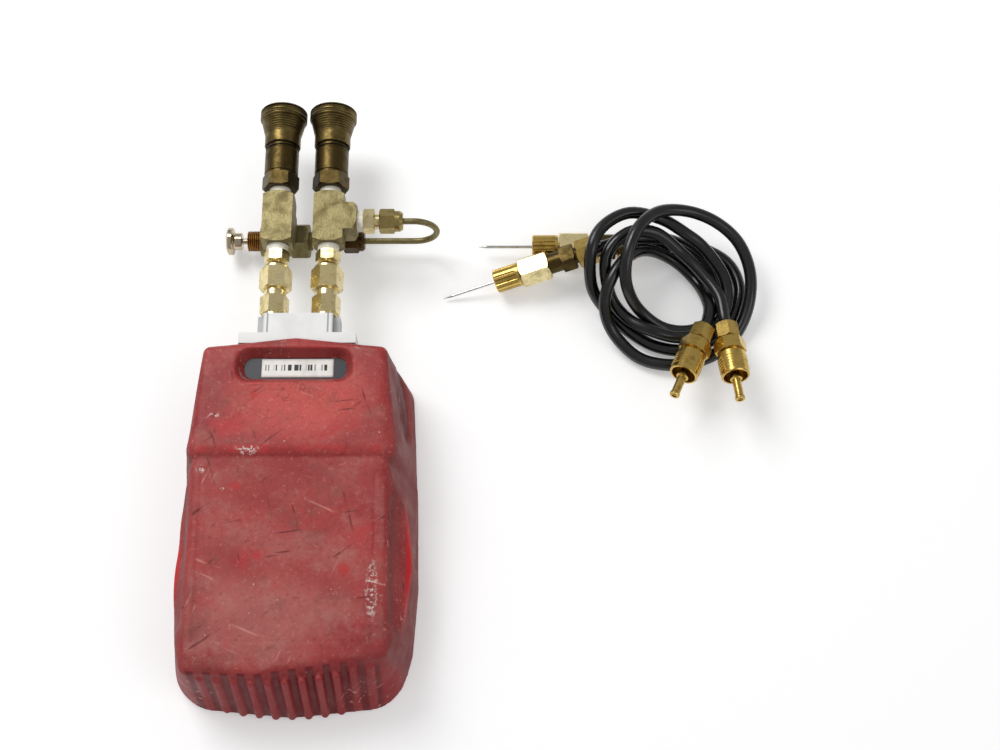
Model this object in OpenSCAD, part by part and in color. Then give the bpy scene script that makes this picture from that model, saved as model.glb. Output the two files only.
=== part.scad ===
// Handheld differential pressure meter in a rubber boot, with a brass bypass manifold on
// its ports and a separate pair of hoses. One end of each hose has a quick-connect plug,
// the other a needle probe. The meter lies on its display side.
// X runs across the meter, +Y towards its ports, +Z up from the surface it lies on.
// The modules draw about the middle of the boot, and at_rim() at the end puts the origin on
// the rim that the meter lies on, by its near end. All lengths are in millimetres.

/* [Boot] */
// Length of the boot
boot_l = 175; // [168:1:182]
// Width of the boot at its foot
boot_w = 117; // [112:1:122]
// Height of the boot at its crest
boot_h = 50; // [48:0.5:53]
// Wall of the boot
boot_wall = 3.2; // [2.8:0.1:3.6]
// How far each side draws in from foot to back
boot_draft = 10.5; // [9.5:0.25:11.5]
// Length of the higher part of the back, from the ports' end to the crest
crest_back = 53.5; // [50:0.5:57]
// Drop from the crest to the flat part of the back
step_drop = 2.5; // [2:0.25:3.5]
// Depth of the finger scoops in the sides
scoop_d = 2.6; // [1.5:0.1:3]
// Count of the grip ribs on the near end
rib_count = 11; // [9:1:12]
// Distance between two grip ribs
rib_pitch = 7.8; // [7:0.1:8.2]
// Width of the window in the boot, at the outside
window_w = 57; // [50:1:60]
// Height of the window in the boot, at the outside
window_h = 18; // [16:0.5:19]
// How much the window narrows on each side towards the case
window_slope = 3.9; // [2.5:0.1:4.2]
// How deep the case lies in the window
window_depth = 6.5; // [5:0.25:6.5]

/* [Meter] */
// Wall of the meter's case
case_wall = 2.2; // [1.8:0.1:2.6]
// Height of the joint between the two halves of the case
case_split = 18; // [16:0.5:20]
// Gap between the boot and the case
boot_gap = 0.3; // [0.2:0.05:0.5]
// Width of the display's opening
display_w = 48; // [42:1:54]
// Length of the display's opening
display_l = 36; // [30:1:40]
// Width of a key
key_w = 15; // [13:0.5:17]
// Length of a key
key_l = 9; // [8:0.5:11]
// Travel of a key
key_travel = 0.8; // [0.6:0.1:1]
// Diameter of a battery cell
cell_d = 14.5; // [13.5:0.25:14.5]
// Length of a battery cell
cell_l = 50.5; // [48:0.5:52]

/* [Ports] */
// Distance between the two ports
port_pitch = 26; // [25.5:0.25:28]
// Depth of the ports' axes under the top of the boot
port_drop = 16; // [15:0.5:17]
// Width of the white port block
block_w = 41; // [40:0.5:44]
// Length of the white port block beyond its flange
block_l = 10.4; // [10:0.2:14]
// Width of the port block's flange
flange_w = 58; // [54:1:60]
// Thickness of the port block's flange
flange_t = 5.6; // [4.6:0.2:6.6]

/* [Tube fittings] */
// Size across the flats of a tube nut
nut_af = 14.3; // [13.5:0.1:15]
// Size across the flats of a port connector
connector_af = 12.7; // [12:0.1:13.5]
// Diameter of the tube stubs
stub_d = 6.35; // [6:0.05:6.6]
// Diameter of the pipe threads
pipe_d = 9.8; // [9.4:0.1:10.2]
// Side of the square bar of the tees
tee_w = 15.3; // [14.5:0.1:16]
// Length of a tee
tee_l = 28.4; // [27:0.2:30]
// Reach of a tee's branch from its axis
tee_reach = 14.3; // [13.8:0.1:14.6]

/* [Sockets] */
// Size across the flats of a socket's hexagon
socket_af = 16.5; // [16:0.1:17.2]
// Diameter of a plug's skirt, which fits in the socket
skirt_d = 14.4; // [13.8:0.1:14.6]
// Travel of a socket's sleeve
sleeve_travel = 2.4; // [1.8:0.1:2.6]
// Diameter of a sleeve's flared rim
sleeve_rim_d = 24.4; // [23.4:0.1:25]
// Turns of a sleeve's spring
spring_turns = 4; // [3:1:5]

/* [Bypass valve] */
// Depth of the valve's axis under the ports' axes
valve_drop = 23.2; // [22.8:0.1:23.6]
// Size across the flats of the valve body
valve_af = 17; // [16:0.1:17.4]
// Diameter of the valve's stem
stem_d = 3.2; // [2.8:0.1:3.6]
// Diameter of the valve's knob
knob_d = 14.5; // [13:0.5:16]
// Diameter of the bypass tube
tube_d = 3.2; // [2.8:0.1:3.5]
// Distance from the port axis plane to the start of the tube's bend
tube_reach = 56; // [54:0.5:60]

/* [Hoses] */
// Outer diameter of the hoses
hose_d = 6.35; // [6:0.05:6.5]
// Size across the flats of the nuts that hold the hoses
hose_nut_af = 11.1; // [10.5:0.1:11.6]
// Diameter of a probe's needle
needle_d = 1.6; // [1.4:0.1:2]
// Length of a needle beyond its gland
needle_l = 29; // [25:1:34]
// Diameter of a probe's splined gland
gland_d = 12.4; // [11.6:0.1:12.6]
// Diameter of a plug's hollow pin
pin_d = 4.6; // [4.2:0.1:5]

/* [Hidden] */
$fn = 48;

fit = 0.05;          // radial clearance of turned fits
seat = 0.3;          // gap between parts that lie against each other
eps = 0.01;          // overlap of cutting shapes

// Boot
half_w = boot_w / 2;
half_l = boot_l / 2;
port_z = boot_h - port_drop;          // height of the ports' axes
valve_z = port_z - valve_drop;        // height of the valve's axis
rim_t = 2.6;                         // front rim of the boot, under the case
rim_w = 5;                           // how far the rim reaches in under the case
corner_r = 19.5;                      // corners of the near end
far_r = 14;                          // corners of the ports' end
back_r = 5.2;                         // edge of the flat part of the back
crest_r = 8;                         // edge of the higher part of the back
crest_y = half_l - crest_back;
grip_z = 28.8;                        // height of the lip under the finger scoops
grip_y = -21;                        // middle of the finger scoops
scoop_r = 18.2;
rib_r = 2.3;
window_y = half_l - 11.45;
window_r = window_h / 2;
near_h = boot_h - 5;                 // back height at the near end
step_h = boot_h - step_drop;         // back height at the foot of the step
far_h = boot_h - 3;                  // back height at the ports' end
far_edge_r = 4;                      // edge of the boot at the ports
far_lean = 1.8;                      // how far the boot leans out over the ports' flange
window_z = far_h - window_depth;     // face of the case in the window
collar_w = 2.4;                      // wall of the boot's collar round the window
pocket_r = window_r - window_slope + collar_w + boot_gap;  // pocket for it in the case
near_top_y = -half_l + 17;           // middle of the rounded edge over the grip ribs
near_skew = 12;                      // sideways shift of that edge's lowest point

// Case
case_in = boot_wall + boot_gap;      // case surface below the boot's surface
case_z = rim_t + seat;               // front face of the case
floor_t = 2.4;
floor_z = case_z + floor_t;          // inner face of the case's floor
neck_w = flange_w - 6;
neck_z0 = 9;
neck_z1 = port_z + 4;
display_y = 38;                      // middle of the display
cell_gap = 1;
cell_count = 4;
cell_pitch = cell_d + cell_gap;
bay_w = cell_count * cell_pitch + 2 * seat;
bay_l = cell_l + 2 * seat;
bay_y = 54.5 - half_l;                // middle of the battery bay
bay_wall = 1.5;
door_t = 2;
door_z = near_h - case_in - 4;       // underside of the battery door
bay_z = door_z - cell_d - 2 * seat;  // floor of the battery bay
board_z = 10;
board_t = 1.6;
board_w = 62;
board_l = 112;
board_y = -4;
sensor_y = 44;
sensor_h = 11;
screw_x = 37;
screw_y = half_l - 23.5;
screw_d = 3;
post_r = 4;
key_cols = [-24, 0, 24];
key_rows = [-8, -38];
key_proud = 1.5;                     // how far a key stands out of the case
key_flange = 1;

// Port block, with its faces along Y
flange_y0 = half_l + far_lean + 0.3;
flange_y1 = flange_y0 + flange_t;
block_y1 = flange_y1 + block_l;
block_z0 = port_z - 7;
block_z1 = port_z + 7;
port_r = pipe_d / 2 - 0.1;
port_depth = 8;
barb_r = 2.2;
barb_y0 = half_l - 16;
neck_y0 = half_l - 7.5;

// Column of fittings on each port, with its faces along Y
collar_y = block_y1 + 1.5;
hex_y = collar_y + 9.7;
nut_y0 = hex_y + 3.9;
nut_y1 = nut_y0 + 11.3;
nut_y2 = nut_y1 + 2.6;
neck_y = nut_y1 - 2.9;               // end of the connector's thread, inside the nut
adapter_y0 = nut_y2 + 1.7;
adapter_y1 = adapter_y0 + 5.8;
tape_w = 3.2;
tee_y0 = adapter_y1 + tape_w;
tee_y1 = tee_y0 + tee_l;
tee_y = (tee_y0 + tee_y1) / 2;
socket_y0 = tee_y1 + 3.7;
socket_y1 = socket_y0 + 7.7;
barrel_y = socket_y1 + 14.5;
barrel_end = barrel_y + 20;
thread_depth = 9;
adapter_af = 11.1;
bore_r = pipe_d / 2 + fit;
stub_r = stub_d / 2;
neck_r = 5.5;
flow_r = 2;

// Sleeve and what it slides on
barrel_ri = skirt_d / 2 + fit;
barrel_r = barrel_ri + 0.85;
wire_r = 0.27;
spring_r = barrel_r + 0.1 + wire_r;
chamber_r = spring_r + wire_r + 0.1;
sleeve_r = chamber_r + 0.45;
sleeve_y0 = barrel_y + sleeve_travel + seat;
sleeve_y1 = sleeve_y0 + 6;
sleeve_y2 = sleeve_y1 + 9.6;
sleeve_y3 = sleeve_y2 + 5;
land_y = sleeve_y0 + 4.8;
shoulder_r = sleeve_r - 0.6;
skirt_depth = 14.5;
ball_r = 1.2;
ball_y = barrel_end - 3.5;
ball_count = 4;
ball_ring = barrel_ri + ball_r + 0.02;
groove_r = ball_ring + ball_r + fit;
groove_y = ball_y - ball_r - 0.2;
chamber_y0 = barrel_y - 9;
seat_y = barrel_y + 3;
poppet_r = 4.2;
seat_hole_r = 3.1;

// Valve and bypass, with their faces along X
left_x = -port_pitch / 2;
right_x = port_pitch / 2;
branch_x = right_x + tee_reach;
branch_z = port_z - tee_reach;
valve_x0 = left_x - 11.9;
valve_hex_x = left_x + 4;
valve_x1 = left_x + 13.4;
valve_r = 8;
bonnet_l = 6.9;
bonnet_x = valve_x0 - bonnet_l;
bonnet_r = 5.25;
packing_r = 3.9;
stem_r = stem_d / 2;
knob_x1 = bonnet_x - 3.1;            // face of the knob's hub towards the bonnet
knob_l = 7.9;
knob_x0 = knob_x1 - knob_l;
disc_t = 3.3;
hub_r = 4.5;
seat_x = left_x + 2;
tip_r = 1.2;
union_af = 11.1;
upper_x0 = branch_x + tape_w;
upper_x1 = upper_x0 + 5.9;
upper_x2 = upper_x1 + 2.3;
upper_x3 = upper_x2 + 7.9;
upper_x4 = upper_x3 + 4.1;
lower_x0 = valve_x1 + 4.2;
lower_x1 = lower_x0 + 7.4;
lower_x2 = right_x + 5.4;
lower_x3 = lower_x2 + 8;
lower_x4 = lower_x3 + 3;
union_r = 4;
tube_r = tube_d / 2;
bend_r = (port_z - valve_z) / 2;

// Probes and plugs, each drawn along +Z from its tip end
probe_nut_af = 14.3;
gland_l = 13.5;
probe_nut_l = 15.6;
probe_neck_l = 6.6;
probe_hex_l = 7.6;
probe_hex_af = 12.7;
probe_s1 = gland_l + 0.5;
probe_s2 = probe_s1 + probe_nut_l;
probe_s3 = probe_s2 + probe_neck_l;
probe_s4 = probe_s3 + probe_hex_l;
probe_s5 = probe_s4 + 1.2;
hose_nut_l = 10;
probe_s6 = probe_s5 + hose_nut_l;
probe_neck_r = 5.4;
plug_s1 = 12.5;                      // back of the plug's skirt
plug_s2 = 14.2;
plug_s3 = 20.8;
plug_s4 = 22.2;
plug_s5 = plug_s4 + 8.8;
pin_out = 13.5;
hose_r = hose_d / 2;
barb_d = 3.6;

// Where each probe and plug lies: its tip end, its bearing and its tilt
probe_a_at = [98, 137, 8.2];
probe_a_turn = 14;
probe_a_tilt = 13;
probe_b_at = [117.4, 157.5, 7.4];
probe_b_turn = 0;
probe_b_tilt = 0;
plug_a_at = [192, 78.5, 24.5];
plug_a_turn = 66;
plug_a_tilt = -12;
plug_b_at = [218, 77, 25.5];
plug_b_turn = 95;
plug_b_tilt = -12;
// Where the hoses run from their plugs to their probes, loosely coiled on the table:
// hose a makes the top turns and hose b the turns under and beside them
hose_a_points = [
  [208, 121, 14], [204, 136, 7], [193, 148, 8], [179, 151, 16], [167, 144, 25], [158, 132, 26],
  [154, 120, 19], [158, 109, 9], [170, 97, 4], [184, 92, 4], [200, 93, 4], [215, 100, 4],
  [225, 112, 6], [230, 126, 11], [230, 141, 15], [224, 155, 19], [212, 164, 24], [197, 168, 28],
  [182, 165, 33], [171, 154, 37], [165, 139, 35], [165, 127, 26], [172, 119, 13], [185, 112, 5],
  [200, 111, 4], [212, 119, 4], [216, 133, 4], [210, 148, 6], [196, 157, 11], [182, 158, 17],
  [167, 155, 22]];
hose_b_points = [
  [213, 125, 17], [205, 138, 16], [195, 149, 17], [181, 157, 25], [166, 155, 29], [155, 143, 26],
  [157, 127, 15], [165, 116, 11], [177, 108, 12], [193, 105, 9], [208, 109, 10], [217, 120, 11],
  [217, 136, 14], [207, 151, 18], [197, 158, 22], [184, 165, 25], [167, 166, 30], [153, 157, 32],
  [147, 144, 30], [148, 130, 16], [157, 120, 6], [168, 110, 4], [181, 102, 4], [197, 100, 4],
  [212, 107, 4], [221, 118, 4], [226, 134, 4], [220, 150, 4], [202, 160, 4], [187, 158, 6]];
hose_steps = 3;                      // rings of a hose between two of its points
hose_sides = 8;

// ---------------------------------------------------------------- shared shapes

module along_x() rotate([0, 90, 0]) children();
module along_y() rotate([-90, 0, 0]) children();

// A turned piece from its half profile of [radius, height] points
module turned(profile) rotate_extrude() polygon(profile);

// A cylinder of radius r between two heights
module rod(r, z0, z1) translate([0, 0, z0]) cylinder(r = r, h = z1 - z0);

// A hexagon across flats af between two heights, with both ends chamfered
module hex_nut(af, z0, z1, turn = 0, chamfer = 0.7) {
  corner = af / 2 / cos(30);
  intersection() {
    rotate([0, 0, turn])
      translate([0, 0, z0]) cylinder(r = corner, h = z1 - z0, $fn = 6);
    turned([[0, z0], [af / 2, z0], [corner + eps, z0 + chamfer],
            [corner + eps, z1 - chamfer], [af / 2, z1], [0, z1]]);
  }
}

// A square bar of side w between two heights, with both ends turned down
module square_bar(w, z0, z1) {
  corner = w / 2 * sqrt(2) + 0.3;
  intersection() {
    translate([-w / 2, -w / 2, z0]) cube([w, w, z1 - z0]);
    turned([[0, z0], [w / 2 + 0.4, z0], [corner, z0 + 2], [corner, z1 - 2],
            [w / 2 + 0.4, z1], [0, z1]]);
  }
}

// A ring between two radii and two heights
module ring(ro, ri, z0, z1)
  turned([[ri, z0], [ro, z0], [ro, z1], [ri, z1]]);

// Places a column piece, drawn along +Z with its height as Y, on the port at side -1 or 1
module on_port(side)
  translate([side * port_pitch / 2, 0, port_z]) along_y() children();

// Places a piece drawn along +Z with its height as X on the height z
module on_cross_axis(z) translate([0, tee_y, z]) along_x() children();

// A box with rounded upright edges
module pad(w, l, z0, z1, r) {
  translate([0, 0, z0]) linear_extrude(z1 - z0)
    hull() for (x = [-1, 1], y = [-1, 1])
      translate([x * (w / 2 - r), y * (l / 2 - r)]) circle(r = r, $fn = 24);
}

// ---------------------------------------------------------------- tube along a route

function unit(v) = v / norm(v);
function lerp(a, b, t) = a + (b - a) * t;

// Frame of each ring: the cross direction is carried along, so that the tube never twists
function carry(side, dir) = unit(side - dir * (side * dir));
function ring_dirs(p) = [for (i = [0:len(p) - 1])
  unit(p[min(i + 1, len(p) - 1)] - p[max(i - 1, 0)])];
function ring_sides(d, i = 0, s = [0, 0, 1], out = []) =
  i == len(d) ? out
  : let (n = carry(abs(d[i] * s) > 0.98 ? [1, 0, 0] : s, d[i]))
    ring_sides(d, i + 1, n, concat(out, [n]));

// One closed solid of radius r swept along the points p, with n sides
module tube(p, r, n) {
  d = ring_dirs(p);
  s = ring_sides(d);
  m = len(p);
  rings = [for (i = [0:m - 1], k = [0:n - 1])
    p[i] + r * (cos(360 * k / n) * s[i] + sin(360 * k / n) * cross(d[i], s[i]))];
  walls = [for (i = [0:m - 2], k = [0:n - 1], h = [0, 1])
    let (a = i * n + k, b = i * n + (k + 1) % n)
      h == 0 ? [a, b, b + n] : [a, b + n, a + n]];
  caps = [for (k = [1:n - 2], h = [0, 1])
    h == 0 ? [0, k + 1, k] : [(m - 1) * n, (m - 1) * n + k, (m - 1) * n + k + 1]];
  polyhedron(points = rings, faces = [for (f = concat(walls, caps)) [f[2], f[1], f[0]]]);
}

// Smooth curve through the points p, with k steps between two of them
function spline_point(a, b, c, d, t) =
  0.5 * ((2 * b) + (c - a) * t + (2 * a - 5 * b + 4 * c - d) * t * t
         + (3 * b - a - 3 * c + d) * t * t * t);
function smooth(p, k) = concat(
  [for (i = [0:len(p) - 2], j = [0:k - 1])
    spline_point(i == 0 ? 2 * p[0] - p[1] : p[i - 1], p[i], p[i + 1],
                 i + 2 < len(p) ? p[i + 2] : 2 * p[i + 1] - p[i], j / k)],
  [p[len(p) - 1]]);

// ---------------------------------------------------------------- boot

// A disc or a ball of radius r + g whose outer side stays where r and g put it, also where
// r + g is less than a small radius
function least_r(r, g) = max(r + g, 0.6);
module corner_disc(p, r, g)
  translate([p[0] - sign(p[0]) * (least_r(r, g) - r - g), p[1]]) circle(r = least_r(r, g));
module corner_ball(p, r, g, facets, mid_y = 0) {
  in = least_r(r, g) - r - g;
  translate([p[0] - sign(p[0]) * in, p[1] - sign(p[1] - mid_y) * in, p[2] - r - in])
    sphere(r = least_r(r, g), $fn = facets);
}

// Plans of the boot's foot, grown by g: the near part, and the part at the ports
module foot_near(g) hull() {
  for (s = [-1, 1]) {
    corner_disc([s * (half_w - corner_r - 3.5), -half_l + corner_r + 3.5], corner_r, g);
    corner_disc([s * (half_w - 30), -25], 30, g);
    corner_disc([s * (half_w - back_r - 1.7), crest_y - 9], back_r, g);
  }
  corner_disc([0, -half_l + corner_r], corner_r, g);
}

module foot_far(g) hull() {
  for (s = [-1, 1]) {
    corner_disc([s * (half_w - back_r - 1.9), crest_y - 9], back_r, g);
    corner_disc([s * (half_w - far_r - 4), half_l - far_r - 1.5], far_r, g);
  }
  corner_disc([0, half_l - far_r], far_r, g);
}

// Plan of the lip that stands out under the finger scoops
module grip_plan(g) hull() for (s = [-1, 1]) {
  translate([s * (half_w - 16), grip_y]) circle(r = 14 + g);
  translate([s * (half_w - 12), grip_y - 36]) circle(r = back_r + g);
  translate([s * (half_w - 12), grip_y + 34]) circle(r = back_r + g);
}

// Whole outer form, grown by g. The grip lip is left out of the inner forms.
module boot_form(g, grip = false, facets = 32) {
  top_x = half_w - boot_draft - back_r;
  hull() {
    linear_extrude(1) foot_near(g);
    if (grip) translate([0, 0, grip_z]) linear_extrude(1) grip_plan(g);
    for (p = [[-top_x, near_top_y + 1.5, near_h], [-near_skew, near_top_y, near_h],
              [top_x + 1, near_top_y + 8, near_h],
              [-top_x, crest_y - 10, step_h], [top_x, crest_y - 10, step_h],
              [6 - top_x, crest_y + 4, step_h], [top_x - 6, crest_y + 4, step_h]])
      corner_ball(p, back_r, g, facets);
  }
  hull() {
    linear_extrude(1) foot_far(g);
    for (s = [-1, 1]) {
      corner_ball([s * (half_w - 8 - crest_r), crest_y, boot_h], crest_r, g, facets, crest_y + 20);
      corner_ball([s * (half_w - 13 - far_edge_r), half_l - 1 - far_edge_r, far_h],
                  far_edge_r, g, facets, crest_y + 20);
    }
    corner_ball([0, half_l + far_lean - far_edge_r, far_h], far_edge_r, g, facets,
                crest_y + 20);
  }
}

// Concave finger scoops between the edge of the back and the grip lip
module finger_scoops() {
  edge = [half_w - boot_draft, near_h];
  lip = [half_w - 2, grip_z];
  middle = (edge + lip) / 2;
  out = unit([edge[1] - lip[1], lip[0] - edge[0]]);
  centre = middle + out * (scoop_r - scoop_d);
  for (s = [-1, 1])
    hull() for (y = [grip_y - 27, grip_y + 27])
      translate([s * centre[0], y, centre[1]]) sphere(r = scoop_r, $fn = 48);
}

// Shallow oval dimples in the sides beside the higher part of the back
module side_dimples() {
  for (s = [-1, 1])
    hull() for (y = [crest_y + 24, crest_y + 34])
      translate([s * (half_w + 7.2), y, 24]) sphere(r = 15, $fn = 32);
}

// Grip ribs on the near end, which follow its curve from the foot to the rounded edge
module grip_ribs() {
  for (i = [0:rib_count - 1]) {
    x = (i - (rib_count - 1) / 2) * rib_pitch + 1;
    y_foot = -half_l + x * x / 250;
    y_top = near_top_y - back_r + pow(x + near_skew, 2) / 342;
    hull() {
      translate([x, lerp(y_foot, y_top, 0.05), 3]) sphere(r = rib_r, $fn = 8);
      translate([x, lerp(y_foot, y_top, 0.9), near_h - 8]) sphere(r = rib_r, $fn = 8);
    }
  }
}

// The shallow dish of the flat part of the back
module back_dish() {
  dish_x = half_w - boot_draft - 8;
  hull() for (s = [-1, 1]) {
    translate([s * dish_x, near_top_y + 12, near_h + 1]) sphere(r = 2, $fn = 12);
    translate([s * dish_x, crest_y - 14, step_h + 1]) sphere(r = 2, $fn = 12);
  }
}

// Plan of the window whose half height is r
module window_plan(r, facets = 36) hull() for (s = [-1, 1])
  translate([s * (window_w - window_h) / 2, window_y]) circle(r = r, $fn = facets);

module boot_window() hull() {
  translate([0, 0, window_z - 1]) linear_extrude(1) window_plan(window_r - window_slope);
  translate([0, 0, far_h]) linear_extrude(3) window_plan(window_r);
}

// Collar of the boot that reaches down to the case round the window
module window_collar()
  translate([0, 0, window_z + boot_gap]) linear_extrude(far_h - 1.5 - window_z)
    window_plan(window_r - window_slope + collar_w, 44);

module port_opening(gap) {
  translate([-neck_w / 2 - gap, neck_y0 - 4, neck_z0 - gap])
    cube([neck_w + 2 * gap, 20, neck_z1 - neck_z0 + 2 * gap]);
}

module rubber_boot() {
  color("firebrick") difference() {
    union() {
      difference() {
        union() {
          boot_form(0, true);
          grip_ribs();
        }
        intersection() {
          boot_form(-boot_wall);
          translate([-half_w, -half_l, rim_t]) cube([boot_w, boot_l, boot_h]);
        }
        translate([0, 0, -1]) linear_extrude(rim_t + 2) {
          foot_near(-boot_wall - rim_w);
          foot_far(-boot_wall - rim_w);
        }
      }
      window_collar();
    }
    finger_scoops();
    side_dimples();
    back_dish();
    boot_window();
    port_opening(seat);
  }
}

// ---------------------------------------------------------------- case

module case_shell(z0, z1) {
  intersection() {
    difference() {
      boot_form(-case_in, false, 20);
      boot_form(-case_in - case_wall, false, 20);
    }
    translate([-half_w, -half_l, z0]) cube([boot_w, boot_l, z1 - z0]);
  }
}

module screw_posts(z0, z1) {
  for (x = [-1, 1], y = [-1, 1])
    translate([x * screw_x, y * screw_y, z0]) cylinder(r = post_r, h = z1 - z0);
}

module door_plan(gap) pad(bay_w + 2 * bay_wall - 2 * gap, bay_l + 2 * bay_wall - 2 * gap,
                          door_z + gap / 2, boot_h, 3);

module battery_bay() {
  translate([0, bay_y, 0]) difference() {
    pad(bay_w + 5 * bay_wall, bay_l + 5 * bay_wall, bay_z - bay_wall,
        near_h - case_in - case_wall + 0.5, 4);
    pad(bay_w, bay_l, bay_z, boot_h, 0.5);
    door_plan(0);
  }
}

module case_back() {
  color("darkslategray") difference() {
    union() {
      case_shell(case_split, boot_h);
      battery_bay();
      intersection() {
        screw_posts(case_split, boot_h);
        boot_form(-case_in - 1, false, 20);
      }
      intersection() {
        translate([0, 0, window_z - case_wall - 0.8]) linear_extrude(boot_h)
          window_plan(pocket_r + case_wall, 40);
        boot_form(-case_in - 0.5, false, 20);
      }
    }
    translate([0, 0, window_z]) linear_extrude(boot_h) window_plan(pocket_r, 44);
    translate([0, bay_y, 0]) pad(bay_w, bay_l, bay_z, boot_h, 0.5);
    translate([0, bay_y, 0]) door_plan(0);
    for (x = [-1, 1], y = [-1, 1]) translate([x * screw_x, y * screw_y, 0]) {
      cylinder(r = screw_d / 2 + 0.1, h = boot_h);
      translate([0, 0, door_z - 4]) cylinder(r = screw_d, h = boot_h);
    }
    port_opening(seat);
  }
}

module case_front() {
  color("dimgray") difference() {
    union() {
      difference() {
        intersection() {
          boot_form(-case_in, false, 20);
          translate([-half_w, -half_l, case_z])
            cube([boot_w, boot_l, case_split - case_z]);
        }
        intersection() {
          boot_form(-case_in - case_wall, false, 20);
          translate([-half_w, -half_l, floor_z]) cube([boot_w, boot_l, boot_h]);
        }
      }
      screw_posts(floor_z - eps, case_split);
      for (x = [-1, 1], y = [-1, 1])
        translate([x * (board_w / 2 - 2.2), board_y + y * (board_l / 2 - 4), floor_z - eps])
          cylinder(r = 2, h = board_z - floor_z - 0.05);
    }
    translate([0, display_y, 0]) pad(display_w, display_l, 0, floor_z + 1, 2);
    for (x = key_cols, y = key_rows)
      translate([x, y, 0]) pad(key_w + 2 * seat, key_l + 2 * seat, 0, floor_z + 1, 2);
    for (x = [-1, 1], y = [-1, 1])
      translate([x * screw_x, y * screw_y, floor_z + 2]) cylinder(r = screw_d / 2 + fit, h = boot_h);
    port_opening(seat);
  }
}

module battery_door() {
  color("dimgray") intersection() {
    translate([0, bay_y, 0]) difference() {
      door_plan(seat / 2);
      translate([0, -bay_l / 2 + 4, boot_h - 2]) cube([12, 1.2, 20], center = true);
    }
    boot_form(-case_in, false, 20);
  }
}

module battery_cells() {
  color("goldenrod") for (i = [0:cell_count - 1])
    translate([(i - (cell_count - 1) / 2) * cell_pitch, bay_y - cell_l / 2,
               bay_z + seat + cell_d / 2])
      along_y() {
        cylinder(r = cell_d / 2, h = cell_l - 1.5);
        translate([0, 0, cell_l - 1.6]) cylinder(r = 2.7, h = 1.6);
      }
}

module circuit_board() {
  color("darkgreen") {
    translate([0, board_y, 0]) pad(board_w, board_l, board_z, board_z + board_t, 2);
    translate([-8, -18, board_z + board_t - eps]) cube([16, 16, 2]);
    translate([14, 4, board_z + board_t - eps]) cube([9, 6, 1.6]);
    translate([-24, 6, board_z + board_t - eps]) cube([6, 10, 3]);
  }
}

module pressure_sensor() {
  z0 = board_z + board_t + 0.05;
  color("gainsboro") {
    translate([-11, sensor_y - 9, z0]) cube([22, 14, sensor_h]);
    for (x = [-6, 6]) translate([x, sensor_y + 5 - eps, z0 + 6])
      along_y() cylinder(r = barb_r, h = 5);
  }
}

// Two soft tubes from the port block's barbs to the sensor's barbs
module sensor_tubes() {
  z0 = board_z + board_t + 0.05 + 6;
  y0 = sensor_y + 10 + 0.4;
  for (s = [-1, 1])
    color("whitesmoke") tube(smooth([
      [s * 6, y0, z0], [s * 6, y0 + 4, z0], [s * 8, y0 + 8, z0 + 4],
      [s * (port_pitch / 2 - 1), barb_y0 - 7, port_z - 3],
      [s * port_pitch / 2, barb_y0 - 3.5, port_z], [s * port_pitch / 2, barb_y0 - 0.4, port_z]],
      3), barb_r + 0.6, 8);
}

module display_module() {
  color("darkolivegreen") translate([0, display_y, 0])
    pad(display_w + 4, display_l + 6, floor_z + 0.1, board_z - 0.1, 1);
}

module display_lens() {
  color("lightgray") translate([0, display_y, 0])
    pad(display_w - 2 * seat, display_l - 2 * seat, case_z + 0.4, floor_z, 1.8);
}

module key(number) {
  column = (number - 1) % 3;
  row = floor((number - 1) / 3);
  color("gray") translate([key_cols[column], key_rows[row], 0]) {
    pad(key_w, key_l, case_z - key_proud, floor_z + 0.4, 1.7);
    pad(key_w + 3, key_l + 3, floor_z + 0.3, floor_z + 0.3 + key_flange, 2);
    translate([0, 0, floor_z + 0.3 + key_flange - eps])
      cylinder(r = 1.5, h = board_z - floor_z - 0.3 - key_flange - key_travel - 0.2);
  }
}

module case_screws() {
  color("silver") for (x = [-1, 1], y = [-1, 1])
    translate([x * screw_x, y * screw_y, 0]) difference() {
      union() {
        rod(screw_d / 2, floor_z + 2.5, door_z - 4 + eps);
        rod(screw_d - 0.3, door_z - 4, door_z - 1);
      }
      translate([0, 0, door_z - 2.4]) cylinder(r = 1.3, h = 3, $fn = 6);
    }
}

// White end block of the meter with its two ports
module port_block() {
  color("white") difference() {
    union() {
      translate([-neck_w / 2, neck_y0, neck_z0])
        cube([neck_w, flange_y0 - neck_y0 + eps, neck_z1 - neck_z0]);
      translate([-flange_w / 2, flange_y0, neck_z0 - 3])
        cube([flange_w, flange_t, neck_z1 - neck_z0 + 6]);
      translate([-block_w / 2, flange_y1 - eps, block_z0])
        cube([block_w, block_l + eps, block_z1 - block_z0]);
      for (s = [-1, 1]) translate([s * port_pitch / 2, 0, port_z])
        along_y() rod(barb_r, barb_y0, neck_y0 + eps);
    }
    for (s = [-1, 1]) translate([s * port_pitch / 2, 0, port_z]) along_y() {
      rod(port_r + fit, block_y1 - port_depth - 0.5, block_y1 + 1);
      rod(1.2, barb_y0 - 1, block_y1);
    }
    for (s = [-1, 1])
      translate([s * (block_w / 2 - 1.6) - 1.6, flange_y1, block_z1 - 5])
        cube([3.3, block_l + 1, 6]);
  }
}

// ---------------------------------------------------------------- port columns

module connector(side) {
  color("goldenrod") on_port(side) difference() {
    union() {
      rod(port_r, block_y1 - port_depth, block_y1 + eps);
      rod(6, block_y1, collar_y + eps);
      hex_nut(connector_af, collar_y, hex_y, 15);
      rod(neck_r, hex_y - eps, neck_y);
    }
    rod(flow_r, block_y1 - port_depth - 1, neck_y + 1);
    rod(stub_r + fit, nut_y0 + 1, neck_y + 1);
  }
}

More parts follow.
